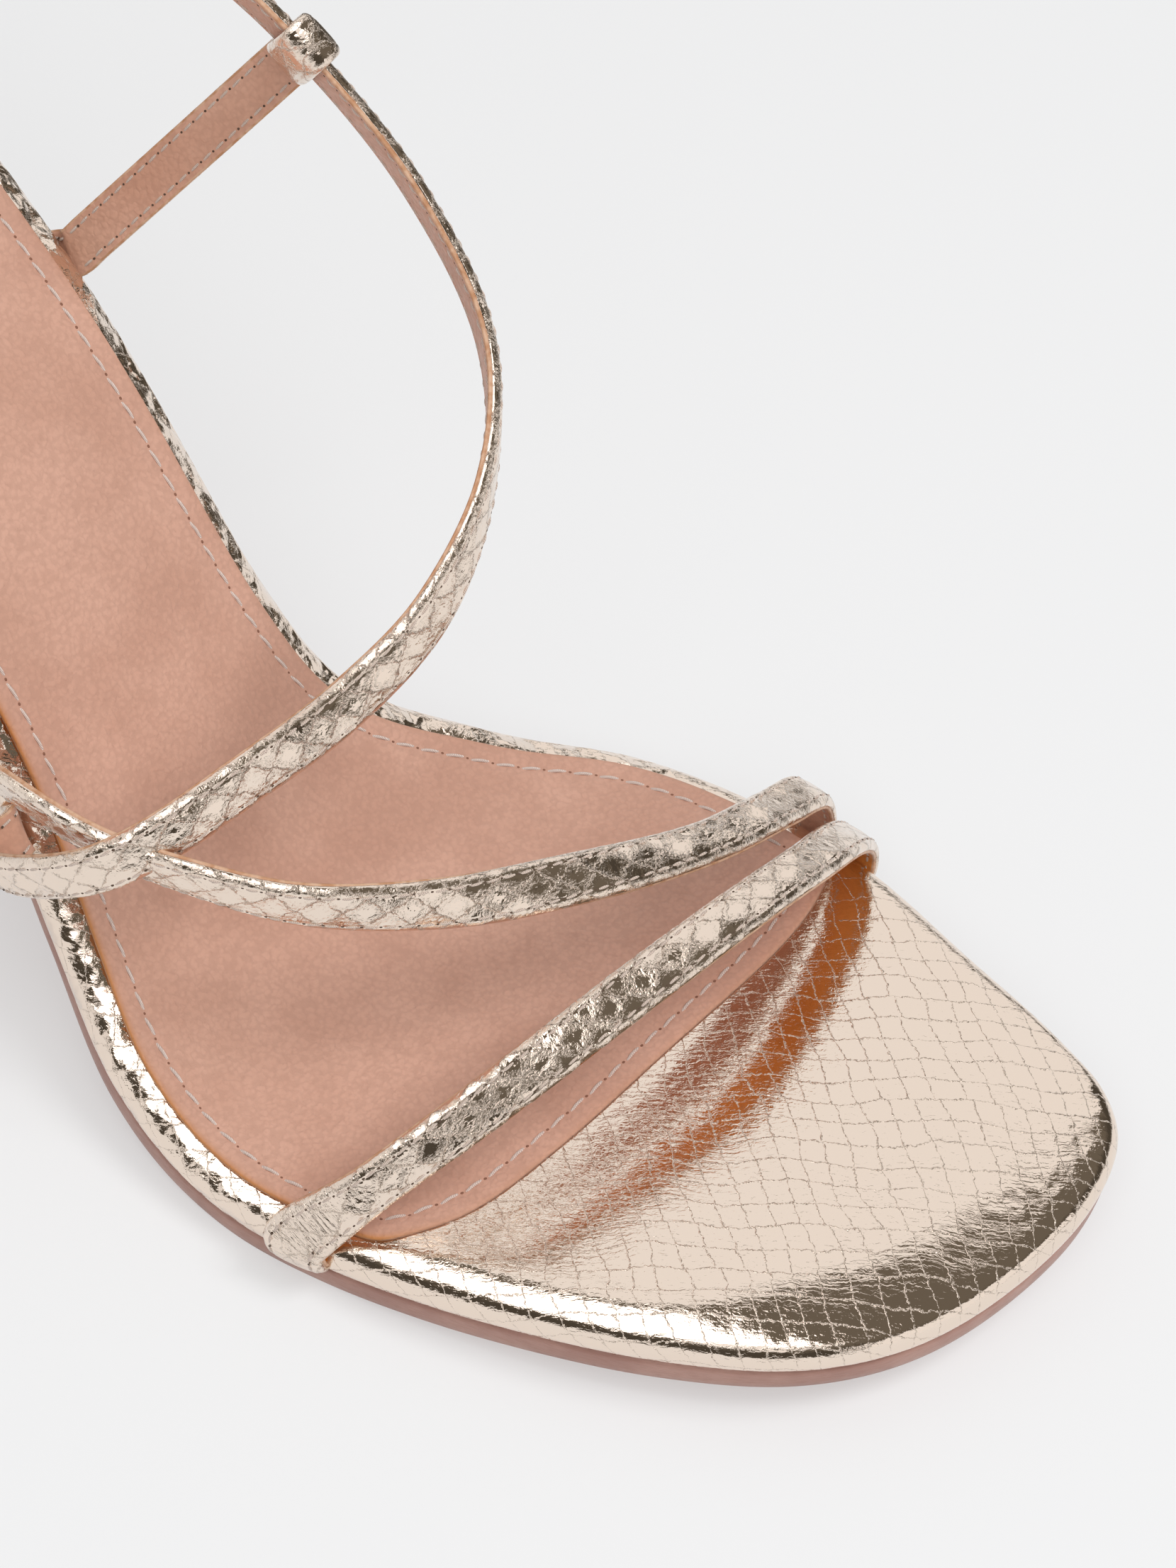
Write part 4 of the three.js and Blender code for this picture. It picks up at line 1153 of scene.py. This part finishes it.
def strap_form(name, path, thickness, materials, bend, widen=1.0):
    """A strap's closed form: gold over, painted edges, lining under."""
    half = [(u, v, k) for k, (u, v) in enumerate(strap_section)]
    loop = half + [(-u, v, k) for u, v, k in half[-2:0:-1]]
    wide = strap_width / 2 * (np.ones(len(path["run"])) * widen)
    rings = []
    for u, v, k in loop:
        beside = path["across"] * (u * wide)[:, None]
        rings.append(path["at"] + beside + path["out"] * (v * thickness / 2))
    rings = np.stack(rings, 1)
    steps, around = rings.shape[:2]
    points = rings.reshape(-1, 3)
    outline = np.array([(u * strap_width / 2, v * thickness / 2) for u, v, k in loop])
    reach = np.linalg.norm(np.roll(outline, -1, axis=0) - outline, axis=1)
    turn = np.concatenate([[0], np.cumsum(reach)])
    total = turn[-1]
    signed = np.where(turn > total / 2, turn - total, turn)
    faces, corners, looks = [], [], []
    for i in range(steps - 1):
        for j in range(around):
            k = (j + 1) % around
            faces.append((i * around + j, (i + 1) * around + j, (i + 1) * around + k, i * around + k))
            a, b = path["run"][i], path["run"][i + 1]
            u = signed[j]
            w = u + reach[j]
            corners.append([(a, u), (b, u), (b, w), (a, w)])
            level = min(loop[j][2], loop[k][2])
            looks.append(0 if level < gold_rows else 1 if level < painted_rows else 2)
    ends = np.array([points[:around].mean(0), points[-around:].mean(0)])
    points = np.vstack([points, ends])
    for first, middle, order in ((0, len(points) - 2, 1), ((steps - 1) * around, len(points) - 1, -1)):
        for j in range(around):
            faces.append((first + j, first + (j + 1) % around, middle)[::order])
            corners.append([(0, 0), (1, 0), (0, 1)])
            looks.append(1)
    return make_piece(
        name,
        points,
        faces,
        uv=corners,
        materials=materials,
        face_materials=looks,
        attributes={"bend": np.append(np.repeat(bend, around), [0, 0])},
    )


def strap_leather():
    """The foil leather as narrow strips: slanted diamond scales, each tilted its own way."""
    material, tree, shader, place = start_material("strap_foil_leather", "leather")
    at = vector_calc(tree, "ADD", place, drifted(tree, place, 1.3, 0.8, 3))
    lengthwise = 1 / strap_scale_length
    crosswise = 1 / strap_scale_width
    facet = 1 / math.hypot(lengthwise, crosswise)
    first = vector_calc(tree, "DOT_PRODUCT", at, (lengthwise, crosswise, 0))
    second = vector_calc(tree, "DOT_PRODUCT", at, (lengthwise, -crosswise, 0))
    gap = calc(tree, "MINIMUM", calc(tree, "PINGPONG", first, 0.5), calc(tree, "PINGPONG", second, 0.5))
    gap = calc(tree, "MULTIPLY", gap, facet)
    fray = noise(tree, place, 3.4, 3, 0.65)
    frayed = ramp(tree, fray, 0.3, 0.7, -0.2, 0.16, smooth=False)
    closed = ramp(tree, noise(tree, place, 0.75, 2), 0.46, 0.62, 0.0, 0.16)
    plate = ramp(tree, calc(tree, "ADD", calc(tree, "ADD", gap, frayed), closed), 0.0, 0.2)
    beside_line = ramp(tree, calc(tree, "ADD", gap, frayed), 0.9, 0.1)
    tilt = cell_tilt(tree, first, second)
    crinkle = noise(tree, place, 2.3, 1, 0.5)
    crumple = noise(tree, place, 0.7, 2, 0.5)
    bend = node(tree, "ShaderNodeAttribute", attribute_name="bend").outputs["Fac"]
    wrinkle_at = vector_calc(tree, "MULTIPLY", place, (1.6, 0.35, 1.0))
    wrinkle = noise(tree, wrinkle_at, 1.0, 3, 0.6)
    open_line = calc(tree, "SUBTRACT", 1.0, plate)
    worn = calc(tree, "MULTIPLY", open_line, ramp(tree, fray, 0.4, 0.6, 0.1, 0.6))
    foil_finish(
        tree,
        shader,
        worn,
        ramp(tree, crumple, 0.3, 0.75, 0.05, 0.09),
        (plate, 0.05),
        (tilt, 0.8),
        (crumple, 0.08),
        (calc(tree, "MULTIPLY", crinkle, open_line), 0.25),
        (calc(tree, "MULTIPLY", crinkle, beside_line), 0.085),
        (calc(tree, "MULTIPLY", wrinkle, bend), 0.5),
    )
    return material


def painted_edge():
    """Cut edges of leather, sealed with copper-brown paint."""
    material, tree, shader, place = start_material("painted_edge")
    blotch = noise(tree, place, 0.8, 3)
    share = ramp(tree, blotch, 0.35, 0.65)
    tone = mix_colour(tree, share, (0.50, 0.25, 0.13, 1), (0.66, 0.42, 0.28, 1))
    set_looks(tree, shader, {"Base Color": tone, "Roughness": 0.4}, (blotch, 0.06))
    return material


def edge_seams(path, thickness, stop, widen):
    """Guide lines for the stitches along both edges, on the gold side and on the lining side."""
    keep = (path["run"] >= strap_tuck) & (path["run"] <= path["run"][-1] - stop)
    wide = (strap_width / 2 - strap_stitch_inset) * (widen[keep, None] if np.ndim(widen) else widen)
    runs = []
    for side in (-1, 1):
        for face, height in ((1, 0.77), (-1, 0.93)):
            lie = path["across"][keep] * side * wide + path["out"][keep] * face * height * thickness / 2
            runs.append((path["at"][keep] + lie, path["out"][keep] * face))
    return runs


def sew_edges(name, path, thickness, stop, widen=1.0):
    """The stitches along a strap, from the board's edge to a stop before its end."""
    seams = edge_seams(path, thickness, stop, widen)
    sew(name, strap_sewing, seams, strap_stitch_sizes)


gold_strap = strap_leather()
edge_paint = painted_edge()
strap_lining = nude_leather("strap_nude_leather", (0.68, 0.39, 0.28, 1), (0.59, 0.32, 0.22, 1), 0.03)
strap_looks = [gold_strap, edge_paint, strap_lining]
# Painted reflection: the toe strap's lining is a more orange copy of the nude lining, so the foil under
# the strap mirrors a copper band.
copper_reflection_lining = nude_leather("toe_strap_lining", (0.95, 0.41, 0.11, 1), (0.80, 0.31, 0.07, 1), 0.03)
gold_thread = thread_material("strap_thread", (0.80, 0.64, 0.54, 1), 0.5)
# Dark pits at the straps' needle holes: painted shade.
strap_pit_shade = painted_hole_shade("strap_needle_hole_painted_shade", (0.12, 0.075, 0.05, 1))
strap_sewing = stitch_tree("strap_sewing", gold_thread, strap_pit_shade)


def board_bend(path):
    """One where a strap turns round the board's edge, easing to none over the foot."""
    flat = footbed_height(path["at"][:, 0]) + board_thickness
    return 1 - smooth_step(0.5, 9, path["at"][:, 2] - flat)


toe_path = swept(
    tucked_end(toe_base[0], False, strap_thickness),
    strap_rows(toe_rows),
    tucked_end(toe_base[1], True, strap_thickness)[::-1],
)
toe_flare = 1 + 0.3 * (1 - smooth_step(8, 26, toe_path["run"]))
toe = strap_form(
    "toe_strap_band",
    toe_path,
    strap_thickness,
    [gold_strap, edge_paint, copper_reflection_lining],
    board_bend(toe_path),
    toe_flare,
)
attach(toe, "root")
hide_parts("toe_strap")
sew_edges("toe_strap_stitches", toe_path, strap_thickness, strap_tuck, toe_flare)

# Crossed straps: made like the toe strap. The instep strap runs from the waist across to the inner
# ball. The wrap strap starts beside it, runs over it and round the ankle to the buckle.
instep_rows = [
    (0.454, -0.383, 0.08),
    (0.491, -0.417, 0.3),
    (0.563, -0.411, 0.47),
    (0.633, -0.33, 0.525),
    (0.687, -0.19, 0.495),
    (0.726, -0.007, 0.43),
    (0.749, 0.19, 0.32),
    (0.753, 0.357, 0.21),
    (0.752, 0.452, 0.13),
]
wrap_rows = [
    (0.478, -0.434, 0.02),
    (0.503, -0.46, 0.18),
    (0.553, -0.43, 0.45),
    (0.586, -0.262, 0.6),
    (0.598, -0.064, 0.63),
    (0.605, 0.095, 0.72),
    (0.591, 0.255, 0.83),
    (0.556, 0.376, 0.93),
    (0.497, 0.424, 0.98),
    (0.431, 0.415, 0.9),
    (0.373, 0.397, 0.82),
    (0.262, 0.369, 0.71),
    (0.131, 0.328, 0.68),
    (0.035, 0.195, 0.66),
    (0.004, 0, 0.65),
    (0.035, -0.195, 0.65),
    (0.131, -0.345, 0.67),
    (0.205, -0.4, 0.68),
]
buckle_stay_rows = [(0.34, -0.352, 0.1), (0.318, -0.385, 0.32)]
instep_base = (0.433, 0.752)
wrap_base = 0.463
loop_thickness = 1.3
buckle_wire = 1.6
buckle_length = 11.0
buckle_tilt = 2.0
tip_length = 17.0
punched_hole = 1.9
hole_pitch = 5.5
hole_count = 5
hole_sides = 20
weld_reach = 4e-6
start_apart = 18

stay_top = row_points(buckle_stay_rows)[-1]
last_wrap = row_points(wrap_rows)[-1]
buckle_down = unit(stay_top - last_wrap)
buckle_out = outward_from(stay_top)[0]
buckle_out = unit(buckle_out - (buckle_out @ buckle_down) * buckle_down)
buckle_across = np.cross(buckle_down, buckle_out)
fold_out = buckle_wire / 2 + clearance + loop_thickness / 2
bar_ahead = 2 * fold_out + 1


def at_buckle(down, out, across=0.0):
    """A point beside the buckle's bar: down the strap, out from the foot, across the strap."""
    beside = buckle_out * (out + fold_out) + buckle_across * across
    return stay_top + buckle_down * (down - bar_ahead) + beside


def buckle_control(down, out):
    return at_buckle(down, out), buckle_across


over_bar = fold_out + loop_thickness / 2 + clearance + strap_thickness / 2
behind_far = buckle_tilt - buckle_wire / 2 - clearance - strap_thickness / 2
instep_path = swept(
    tucked_end(instep_base[0], False, strap_thickness),
    strap_rows(instep_rows),
    tucked_end(instep_base[1], True, strap_thickness)[::-1],
)
wrap_path = swept(
    tucked_end(wrap_base, False, strap_thickness),
    strap_rows(wrap_rows),
    [
        buckle_control(-1.05 * buckle_length, behind_far),
        buckle_control(-0.45 * buckle_length, (behind_far + over_bar) / 2),
        buckle_control(0, over_bar),
        buckle_control(0.5 * tip_length, 0.75 * over_bar),
        buckle_control(tip_length, 0.45 * over_bar),
    ],
)


def part_straps(upper, lower):
    """Moves two crossing straps apart, the upper one out and the lower one in."""
    wanted = strap_thickness + 0.08
    gaps = upper["at"][:, None] - lower["at"][None]
    distance = np.linalg.norm(gaps, axis=2)
    pairs = ((upper, lower, distance.argmin(1), 1), (lower, upper, distance.argmin(0), -1))
    for path, other, near, sign in pairs:
        apart = path["at"] - other["at"][near]
        outward = (apart * path["out"]).sum(1)
        beside = np.linalg.norm(apart - outward[:, None] * path["out"], axis=1)
        need = np.clip((wanted - sign * outward) / 2, 0, 1.0) * (1 - smooth_step(5.5, 8.5, beside))
        need[path["run"] < start_apart] = 0
        spread = np.exp(-0.5 * (np.arange(-16, 17) / 6.0) ** 2)
        widest = np.array([need[max(i - 4, 0) : i + 5].max() for i in range(len(need))])
        path["move"] = np.convolve(widest, spread / spread.sum(), "same") * sign
    for path in (upper, lower):
        path["at"] = path["at"] + path["out"] * path["move"][:, None]


part_straps(wrap_path, instep_path)
wrap_left = wrap_path["run"][-1] - wrap_path["run"]
tip_round = np.sqrt(np.clip(1 - (np.clip(3.2 - wrap_left, 0, 3.2) / 3.25) ** 2, 0.0, 1))
instep_bend = board_bend(instep_path)
instep = strap_form("instep_strap_band", instep_path, strap_thickness, strap_looks, instep_bend)
wrap_bend = board_bend(wrap_path) * (wrap_path["run"] < 60)
wrap = strap_form("wrap_strap_band", wrap_path, strap_thickness, strap_looks, wrap_bend, tip_round)


def punched(strap, places, width):
    """Round holes punched through the wrap strap at some places on its middle line."""
    turn = np.linspace(0, 2 * math.pi, hole_sides, endpoint=False)
    points, faces = [], []
    for i in places:
        first = len(points)
        for height in (-1.5 * strap_thickness, 1.5 * strap_thickness):
            middle = wrap_path["at"][i] + wrap_path["out"][i] * height
            side = wrap_path["across"][i]
            ahead = np.cross(side, wrap_path["out"][i])
            points += [middle + (side * math.cos(a) + ahead * math.sin(a)) * width / 2 for a in turn]
        second = first + hole_sides
        faces += band(first, second, hole_sides)
        faces += [tuple(range(second - 1, first - 1, -1)), tuple(range(second, second + hole_sides))]
    punch = make_piece("punch", points, faces, materials=strap_looks, face_materials=[1] * len(faces))
    turn_outward(punch)
    cut = strap.modifiers.new("punching", "BOOLEAN")
    cut.operation = "DIFFERENCE"
    cut.solver = "MANIFOLD"
    cut.object = punch
    view = bpy.context.evaluated_depsgraph_get()
    whole = bpy.data.meshes.new_from_object(strap.evaluated_get(view), depsgraph=view)
    strap.modifiers.remove(cut)
    strap.data = whole
    bpy.data.objects.remove(punch)
    form = bmesh.new()
    form.from_mesh(whole)
    bmesh.ops.remove_doubles(form, verts=form.verts[:], dist=weld_reach)
    bmesh.ops.dissolve_degenerate(form, edges=form.edges[:], dist=weld_reach)
    bmesh.ops.triangulate(form, faces=[face for face in form.faces if len(face.verts) > 4])
    form.to_mesh(whole)
    form.free()


bar_place = int(np.argmin(np.linalg.norm(wrap_path["at"] - at_buckle(0, over_bar), axis=1)))
first_hole = wrap_path["run"][bar_place] + 0.5 * tip_length - 3.2 * hole_pitch
hole_places = [
    int(np.argmin(np.abs(wrap_path["run"] - first_hole - hole_pitch * k))) for k in range(hole_count)
]
punched(wrap, hole_places, punched_hole)
for strap, path, widen, stop in (
    (instep, instep_path, 1.0, strap_tuck),
    (wrap, wrap_path, tip_round, 2.2),
):
    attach(strap, "root")
    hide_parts("crossed_straps")
    sew_edges(strap.name.replace("band", "stitches"), path, strap_thickness, stop, widen)

# Inner stay: a thinner lined strip. It rises from the inner waist, goes up outside the wrap
# strap, folds over it as a loop and is stitched down on its own lining.
inner_stay_base = 0.318
inner_stay_lean = 27
inner_stay_turn = 24
loop_row = 9

wrap_controls = strap_rows(wrap_rows)
loop_at = wrap_controls[loop_row][0]
loop_along = unit(wrap_controls[loop_row + 1][0] - wrap_controls[loop_row - 1][0])
loop_out = outward_from(loop_at)[0]
loop_out = unit(loop_out - (loop_out @ loop_along) * loop_along)
loop_up = np.cross(loop_out, loop_along)
loop_up = loop_up if loop_up[2] > 0 else -loop_up
hold_up = strap_width / 2 + 2 * clearance + loop_thickness / 2
hold_out = strap_thickness / 2 + clearance + loop_thickness / 2


def at_loop(up, out):
    """A control beside the wrap strap: up across it, and out from the foot."""
    return loop_at + loop_up * up + loop_out * out, loop_along


def gold_side_out(path):
    """Turns a stay's gold side away from the foot, judged on its straight part."""
    middle = int(len(path["run"]) * 0.4)
    if (path["out"][middle] * outward_from(path["at"][middle])[0]).sum() < 0:
        path["across"], path["out"] = -path["across"], -path["out"]


stay_foot = leaning_end(inner_stay_base, True, loop_thickness, inner_stay_lean)
below_loop = at_loop(-hold_up - 2.6 * loop_thickness, 0.9 * hold_out)
stay_path = swept(
    stay_foot[:4],
    straight_run(stay_foot[3], below_loop, (0.08, 0.3, 0.6)),
    [
        below_loop,
        at_loop(-0.8 * hold_up, hold_out),
        at_loop(0.75 * hold_up, hold_out),
        at_loop(hold_up, 0.5 * hold_out),
        at_loop(hold_up, -0.5 * hold_out),
        at_loop(0.75 * hold_up, -hold_out),
        at_loop(-0.8 * hold_up, -hold_out),
        at_loop(-hold_up - 0.6 * loop_thickness, -0.5 * hold_out),
        at_loop(-hold_up - 2.0 * loop_thickness, 0.0),
    ],
)
gold_side_out(stay_path)
stay = strap_form("inner_stay_band", stay_path, loop_thickness, strap_looks, board_bend(stay_path))
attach(stay, "root")
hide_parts("inner_stay")
sew_edges("inner_stay_stitches", stay_path, loop_thickness, inner_stay_turn)

# Buckle stay: the same strip on the outer side, folded over the buckle's bar with its end
# stitched down inside.
outer_stay_base = 0.35
outer_stay_lean = -8
outer_stay_turn = 16

buckle_stay_path = swept(
    leaning_end(outer_stay_base, False, loop_thickness, outer_stay_lean),
    strap_rows(buckle_stay_rows)[:1],
    [
        buckle_control(4.4 * fold_out, -0.7 * fold_out),
        buckle_control(1.6 * fold_out, 0.3 * fold_out),
        buckle_control(0.5 * fold_out, 0.9 * fold_out),
        buckle_control(-0.6 * fold_out, 0.8 * fold_out),
        buckle_control(-fold_out, 0),
        buckle_control(-0.6 * fold_out, -0.8 * fold_out),
        buckle_control(0.4 * fold_out, -fold_out),
        buckle_control(2.0 * fold_out, -1.1 * fold_out),
        buckle_control(3.6 * fold_out, -1.4 * fold_out),
    ],
)
gold_side_out(buckle_stay_path)
outer_bend = board_bend(buckle_stay_path)
buckle_stay = strap_form("buckle_stay_band", buckle_stay_path, loop_thickness, strap_looks, outer_bend)
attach(buckle_stay, "root")
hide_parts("buckle_stay")
sew_edges("buckle_stay_stitches", buckle_stay_path, loop_thickness, outer_stay_turn)

# Buckle: a frame bent from round wire with its ends welded, and a prong of thinner wire rolled
# round its bar. Both are polished and plated pale gold.
prong_wire = 1.3
frame_corner = 1.2
rod_sides = 20


def rod(name, path, wire, step, closed=False, **looks):
    """A round wire along a smooth path, closed on itself or with domed ends."""
    path = np.asarray(path, float)
    spans = len(path) if closed else len(path) - 1
    fine = smooth_at(path, np.linspace(0, spans, 40 * spans + 1), closed)
    run = run_along(fine)
    count = int(run[-1] / step)
    places = np.linspace(0, run[-1], count, endpoint=not closed)
    at = at_runs(fine, run, places)
    if closed:
        along = unit(np.roll(at, -1, axis=0) - np.roll(at, 1, axis=0))
    else:
        along = unit(np.gradient(at, axis=0))
    plane = np.linalg.svd(at - at.mean(0))[2][2]
    side = unit(np.cross(along, plane))
    radius = np.full(count, wire / 2)
    if not closed:
        reach = np.clip(np.minimum(places, run[-1] - places) / (wire / 2), 0, 1)
        radius = wire / 2 * np.sqrt(np.clip(1 - (1 - reach) ** 2, 0.01, 1))
    angle = np.linspace(0, 2 * math.pi, rod_sides, endpoint=False)
    rings = (
        at[:, None]
        + side[:, None] * (np.cos(angle)[None, :, None] * radius[:, None, None])
        + np.cross(along, side)[:, None] * (np.sin(angle)[None, :, None] * radius[:, None, None])
    )
    points = rings.reshape(-1, 3)
    faces = []
    for i in range(count if closed else count - 1):
        faces += band(i * rod_sides, (i + 1) % count * rod_sides, rod_sides)
    if not closed:
        points = np.vstack([points, at[0], at[-1]])
        last = (count - 1) * rod_sides
        for j in range(rod_sides):
            k = (j + 1) % rod_sides
            faces.append((k, j, len(points) - 2))
            faces.append((last + j, last + k, len(points) - 1))
    return turn_outward(make_piece(name, points, faces, **looks))


def plated_metal():
    """Polished zinc alloy, plated pale gold."""
    material, tree, shader, place = start_material("buckle_metal")
    haze = noise(tree, place, 0.9, 3)
    rough = ramp(tree, haze, 0.3, 0.7, 0.14, 0.2)
    looks = {"Base Color": (0.86, 0.69, 0.47, 1), "Metallic": 1.0, "Roughness": rough}
    set_looks(tree, shader, looks, (haze, 0.02))
    return material


frame_half = strap_width / 2 + clearance + frame_corner
frame_corners = [
    # down, across, and the way to the next corner
    (0.0, -frame_half, (-1, 0)),
    (-buckle_length, -frame_half, (0, 1)),
    (-buckle_length, frame_half, (1, 0)),
    (0.0, frame_half, (0, -1)),
]


def on_frame(down, across):
    return at_buckle(down, buckle_tilt * -down / buckle_length, across)


frame_path = []
for i, (down, across, ahead) in enumerate(frame_corners):
    before = frame_corners[i - 1][2]
    next_down, next_across = frame_corners[(i + 1) % 4][:2]
    near = 0.3 * frame_corner
    frame_path += [
        on_frame(down - before[0] * frame_corner, across - before[1] * frame_corner),
        on_frame(down + (ahead[0] - before[0]) * near, across + (ahead[1] - before[1]) * near),
        on_frame(down + ahead[0] * frame_corner, across + ahead[1] * frame_corner),
    ]
    side = np.array([next_down - down, next_across - across])
    for share in (0.35, 0.65):
        frame_path.append(on_frame(down + side[0] * share, across + side[1] * share))
metal = plated_metal()
buckle = rod("buckle_wire_frame", frame_path, buckle_wire, 0.3, closed=True, materials=[metal])
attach(buckle, "root")
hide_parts("buckle_frame")

prong_ring = buckle_wire / 2 + 1.5 * clearance + prong_wire / 2
resting = buckle_tilt + (buckle_wire + prong_wire) / 2 + 0.05
prong_path = [
    at_buckle(prong_ring * math.cos(math.radians(turn)), prong_ring * math.sin(math.radians(turn)))
    for turn in (20, -25, -70, -115, -160, -205)
] + [
    at_buckle(-1.3 * prong_ring, 0.75 * over_bar),
    at_buckle(-0.45 * buckle_length, over_bar + 1.2 * prong_wire),
    at_buckle(-0.8 * buckle_length, resting + clearance),
    at_buckle(-1.06 * buckle_length, resting),
]
prong = rod("buckle_wire_prong", prong_path, prong_wire, 0.25, materials=[metal])
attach(prong, "root")
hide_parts("buckle_prong")

# Picture: the photo's close view of the front of the shoe, from its outer side and above.
look_at = (152.87, 19.31, 22.8)
view_distance = 499.85
view_turn = math.radians(32.84)
view_rise = math.radians(49.91)
view_roll = math.radians(3.95)

back = np.array(
    [
        math.sin(view_turn) * math.cos(view_rise),
        -math.cos(view_turn) * math.cos(view_rise),
        math.sin(view_rise),
    ]
)
level = np.array([math.cos(view_turn), math.sin(view_turn), 0.0])
upright = np.cross(back, level)
right = math.cos(view_roll) * level + math.sin(view_roll) * upright
top = -math.sin(view_roll) * level + math.cos(view_roll) * upright
stand = to_row(np.array(look_at) + back * view_distance)
lens = bpy.data.cameras.new("photo_view")
lens.lens = 97.7
lens.sensor_width = 36.0
lens.clip_start = 0.01
camera = bpy.data.objects.new("photo_view", lens)
camera.matrix_world = Matrix([(right[i], top[i], back[i], stand[i]) for i in range(3)] + [(0, 0, 0, 1)])
bpy.context.scene.collection.objects.link(camera)
bpy.context.scene.camera = camera

# Floor and light: a plain pale floor, painted dark beyond the inner side for mirror rays only as a
# painted dark reflection, and a key and a fill light, both soft. The foil alone mirrors a studio of
# white panels with dark gaps.
floor_mesh = bpy.data.meshes.new("floor")
floor_mesh.from_pydata([(-3, -3, 0), (3, -3, 0), (3, 3, 0), (-3, 3, 0)], [], [(0, 1, 2, 3)])
floor = bpy.data.objects.new("floor", floor_mesh)
bpy.context.scene.collection.objects.link(floor)
floor_paint, tree, shader, place = start_material("floor_paint")
inner_side = node(tree, "ShaderNodeSeparateXYZ", place).outputs[1]
mirrored = node(tree, "ShaderNodeLightPath").outputs["Is Glossy Ray"]
# Painted dark reflection: for mirror rays beyond the inner side the floor is dark and does not glow.
painted_dark_reflection = calc(tree, "MULTIPLY", mirrored, ramp(tree, inner_side, 160.0, 280.0))
floor_looks = {
    "Base Color": mix_colour(tree, painted_dark_reflection, (0.466, 0.468, 0.472, 1), (0.10, 0.09, 0.075, 1)),
    "Roughness": 0.9,
    "Specular IOR Level": 0.0,
    "Emission Color": (1.0, 1.0, 1.0, 1),
    "Emission Strength": ramp(tree, painted_dark_reflection, 0, 1, 0.405, 0.0),
}
set_looks(tree, shader, floor_looks)
floor_paint.cycles.emission_sampling = "NONE"
floor_mesh.materials.append(floor_paint)

light_distance = 1.6
for name, towards, size, energy in (
    ("key_panel", (0.5, 0.16, 0.88), 0.7, 9.5),
    ("fill_panel", (0.35, -0.45, 0.85), 1.4, 9.0),
):
    panel_light = bpy.data.lights.new(name, "AREA")
    panel_light.shape = "DISK"
    panel_light.size = size
    panel_light.energy = energy
    holder = bpy.data.objects.new(name, panel_light)
    aim = Vector(towards).normalized()
    facing = aim.to_track_quat("Z", "Y").to_matrix().to_4x4()
    holder.matrix_world = Matrix.Translation(aim * light_distance) @ facing
    holder.visible_glossy = False
    bpy.context.scene.collection.objects.link(holder)

world = bpy.data.worlds.new("studio")
bpy.context.scene.world = world
world.use_nodes = True
tree = world.node_tree
tree.nodes.clear()
direction = node(tree, "ShaderNodeTexCoord").outputs["Generated"]


def sky_panel(turn, rise, reach, soft, strength):
    """A white panel in the sky: its aim in degrees, and how far it reaches right, left, down, up."""
    turn, rise = math.radians(turn), math.radians(rise)
    aim = (math.cos(turn) * math.cos(rise), math.sin(turn) * math.cos(rise), math.sin(rise))
    side = (-math.sin(turn), math.cos(turn), 0.0)
    up = tuple(np.cross(aim, side))
    facing = calc(tree, "MAXIMUM", vector_calc(tree, "DOT_PRODUCT", direction, aim), 0.02)
    share = strength
    for axis, low, high in ((side, reach[0], reach[1]), (up, reach[2], reach[3])):
        at = calc(tree, "DIVIDE", vector_calc(tree, "DOT_PRODUCT", direction, axis), facing)
        share = calc(tree, "MULTIPLY", share, ramp(tree, at, low - soft, low))
        share = calc(tree, "MULTIPLY", share, ramp(tree, at, high + soft, high))
    return share


# The studio is bright below the horizon, dim over it, and white at the panels.
above = node(tree, "ShaderNodeSeparateXYZ", direction).outputs[2]
below_horizon = ramp(tree, above, 0.05, 0.0, 0.0, 0.9)
overhead = ramp(tree, above, 0.35, 0.65, 0.07, 0.15)
light = calc(tree, "MAXIMUM", below_horizon, overhead)
for values in (
    # turn, rise, reach, softness of the edge, strength
    (120, 35, (-0.54, 1.0, -0.5, 0.62), 0.045, 0.93),
    (275, 55, (-0.55, 0.6, -0.27, 0.34), 0.07, 1.0),
    (240, 60, (-0.33, 0.6, -0.35, 0.57), 0.07, 2.1),
    (205, 22, (-0.5, 0.6, -0.3, 0.2), 0.1, 0.85),
    (5, 15, (-0.6, 0.5, -0.6, 0.16), 0.07, 0.95),
):
    light = calc(tree, "MAXIMUM", light, sky_panel(*values))
dim_warm = (1.0, 0.87, 0.69, 1)
panel_white = (1.0, 0.99, 0.985, 1)
dome_grey = (0.45, 0.45, 0.45, 1)
backdrop = (0.87, 0.87, 0.87, 1)
warmth = mix_colour(tree, ramp(tree, light, 0.14, 0.5, smooth=False), dim_warm, panel_white)
ray = node(tree, "ShaderNodeLightPath").outputs
grey = node(tree, "ShaderNodeCombineXYZ", light, light, light).outputs[0]
panels = vector_calc(tree, "MULTIPLY", warmth, grey)
studio = mix_colour(tree, ray["Is Glossy Ray"], dome_grey, panels)
seen = mix_colour(tree, ray["Is Camera Ray"], studio, backdrop)
glow = node(tree, "ShaderNodeBackground", inputs={"Color": seen})
finish = node(tree, "ShaderNodeOutputWorld")
tree.links.new(glow.outputs[0], finish.inputs["Surface"])

bpy.context.scene.view_settings.view_transform = "Standard"
